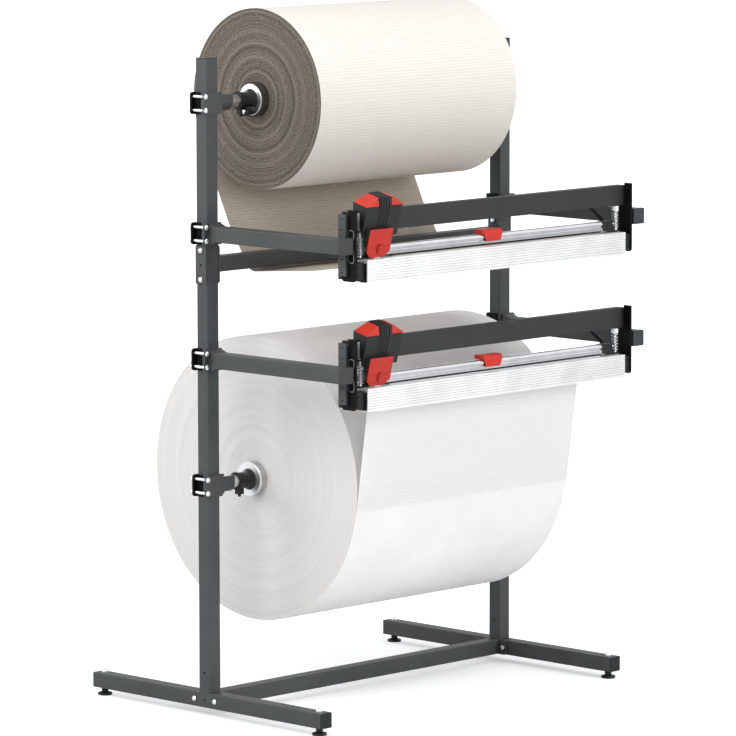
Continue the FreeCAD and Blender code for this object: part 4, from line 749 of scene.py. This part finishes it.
def make_stage():
    deselect()
    bpy.ops.mesh.primitive_plane_add(size=60, location=(0, 0, 0))
    floor = bpy.context.object
    floor.name = "studio_floor"
    coat(floor, white_floor())

    world = bpy.data.worlds.new("studio_air")
    world.use_nodes = True
    nodes, links = world.node_tree.nodes, world.node_tree.links
    nodes.clear()
    paths = nodes.new("ShaderNodeLightPath")
    shades = []
    for colour, strength in (
        ((0.95, 0.97, 1.0), 0.5),
        ((0.97, 0.98, 0.99), 0.95),
        ((1.0, 1.0, 1.0), 1.0),
    ):
        air = nodes.new("ShaderNodeBackground")
        air.inputs["Color"].default_value = (*colour, 1.0)
        air.inputs["Strength"].default_value = strength
        shades.append(air.outputs[0])
    mixed = shades[0]
    for ray, air in zip(("Is Glossy Ray", "Is Camera Ray"), shades[1:]):
        choose = nodes.new("ShaderNodeMixShader")
        links.new(paths.outputs[ray], choose.inputs[0])
        links.new(mixed, choose.inputs[1])
        links.new(air, choose.inputs[2])
        mixed = choose.outputs[0]
    output = nodes.new("ShaderNodeOutputWorld")
    links.new(mixed, output.inputs["Surface"])
    bpy.context.scene.world = world


def soft_lamp(name, location, aim, size, power):
    lamp = bpy.data.lights.new(name, "AREA")
    lamp.shape = "DISK"
    lamp.size = size
    lamp.energy = power
    holder = bpy.data.objects.new(name, lamp)
    bpy.context.scene.collection.objects.link(holder)
    holder.location = location
    direction = Vector(aim) - Vector(location)
    holder.rotation_euler = direction.to_track_quat("-Z", "Y").to_euler()


def make_light():
    middle = (0, 0, 0.9)
    soft_lamp("key_lamp", (-3.0, -0.5, 2.9), middle, 2.6, 57)
    soft_lamp("fill_lamp", (1.5, -6.0, 2.4), middle, 3.5, 178)
    soft_lamp("top_lamp", (0.4, -1.1, 5.2), middle, 3.0, 60)
    soft_lamp("back_lamp", (-3.4, 3.0, 2.7), middle, 3.0, 76)


def make_camera():
    """A long lens from the front left, looking slightly down."""
    data = bpy.data.cameras.new("studio_camera")
    camera = bpy.data.objects.new("studio_camera", data)
    bpy.context.scene.collection.objects.link(camera)
    data.sensor_width = 36.0
    data.lens = 256.942
    data.clip_start, data.clip_end = 0.5, 100.0
    camera.location = (-9.8436, -9.6180, 2.5980)
    heading, tilt, roll = 0.796526, 0.125713, -0.00188
    ahead = Vector(
        (math.sin(heading) * math.cos(tilt), math.cos(heading) * math.cos(tilt), -math.sin(tilt))
    )
    right = Vector((math.cos(heading), -math.sin(heading), 0.0))
    up = right.cross(ahead)
    turned = right * math.cos(roll) + up * math.sin(roll)
    above = up * math.cos(roll) - right * math.sin(roll)
    camera.rotation_euler = Matrix((turned, above, -ahead)).transposed().to_euler()
    bpy.context.scene.camera = camera
    bpy.context.scene.view_settings.view_transform = "Standard"


# ---------------------------------------------------------------- the whole object

SOFT_EDGES = {
    "arm_caps": 0.0008,
    "table_end_blocks": 0.0015,
    "upper_head_roof": 0.0022,
    "lower_head_roof": 0.0022,
    "upper_blade_plate": 0.001,
    "lower_blade_plate": 0.001,
    "upper_lock_knob": 0.0006,
    "lower_lock_knob": 0.0006,
    "upper_rail_end_blocks": 0.001,
    "lower_rail_end_blocks": 0.001,
    "axle_cradles": 0.0008,
    "upper_hubs": 0.0009,
    "lower_hubs": 0.0009,
    "clamp_yokes": 0.0008,
    "upper_head_slider": 0.0008,
    "lower_head_slider": 0.0008,
}

OWN_FINISH = {
    "arm_caps": cap_plastic,
    "lower_core": pale_board,
    "upper_guide_beam": beam_paint,
    "lower_guide_beam": beam_paint,
    "upper_head_housing": housing_plastic,
    "lower_head_housing": housing_plastic,
    "upper_head_slider": slider_metal,
    "lower_head_slider": slider_metal,
}


def finish_nodes():
    """The nodes that stay as they are get their materials, and the others finished copies."""
    for node, obj in frame["nodes"].items():
        slot = SLOT_OF[node]
        if node in SOFT_EDGES:
            softened(node, SOFT_EDGES[node])
        elif slot in FINISHES:
            for held in obj.material_slots:
                held.material = OWN_FINISH.get(node, FINISHES[slot])


make_rolls()
make_webs()
for unit, arm in UNITS:
    make_rail_springs(unit, arm)
    make_grip(unit, arm)
    make_housing(unit, arm)
    make_slot_rings(unit, arm)
make_clamp_lugs()
finish_nodes()
make_stage()
make_light()
make_camera()
deselect()
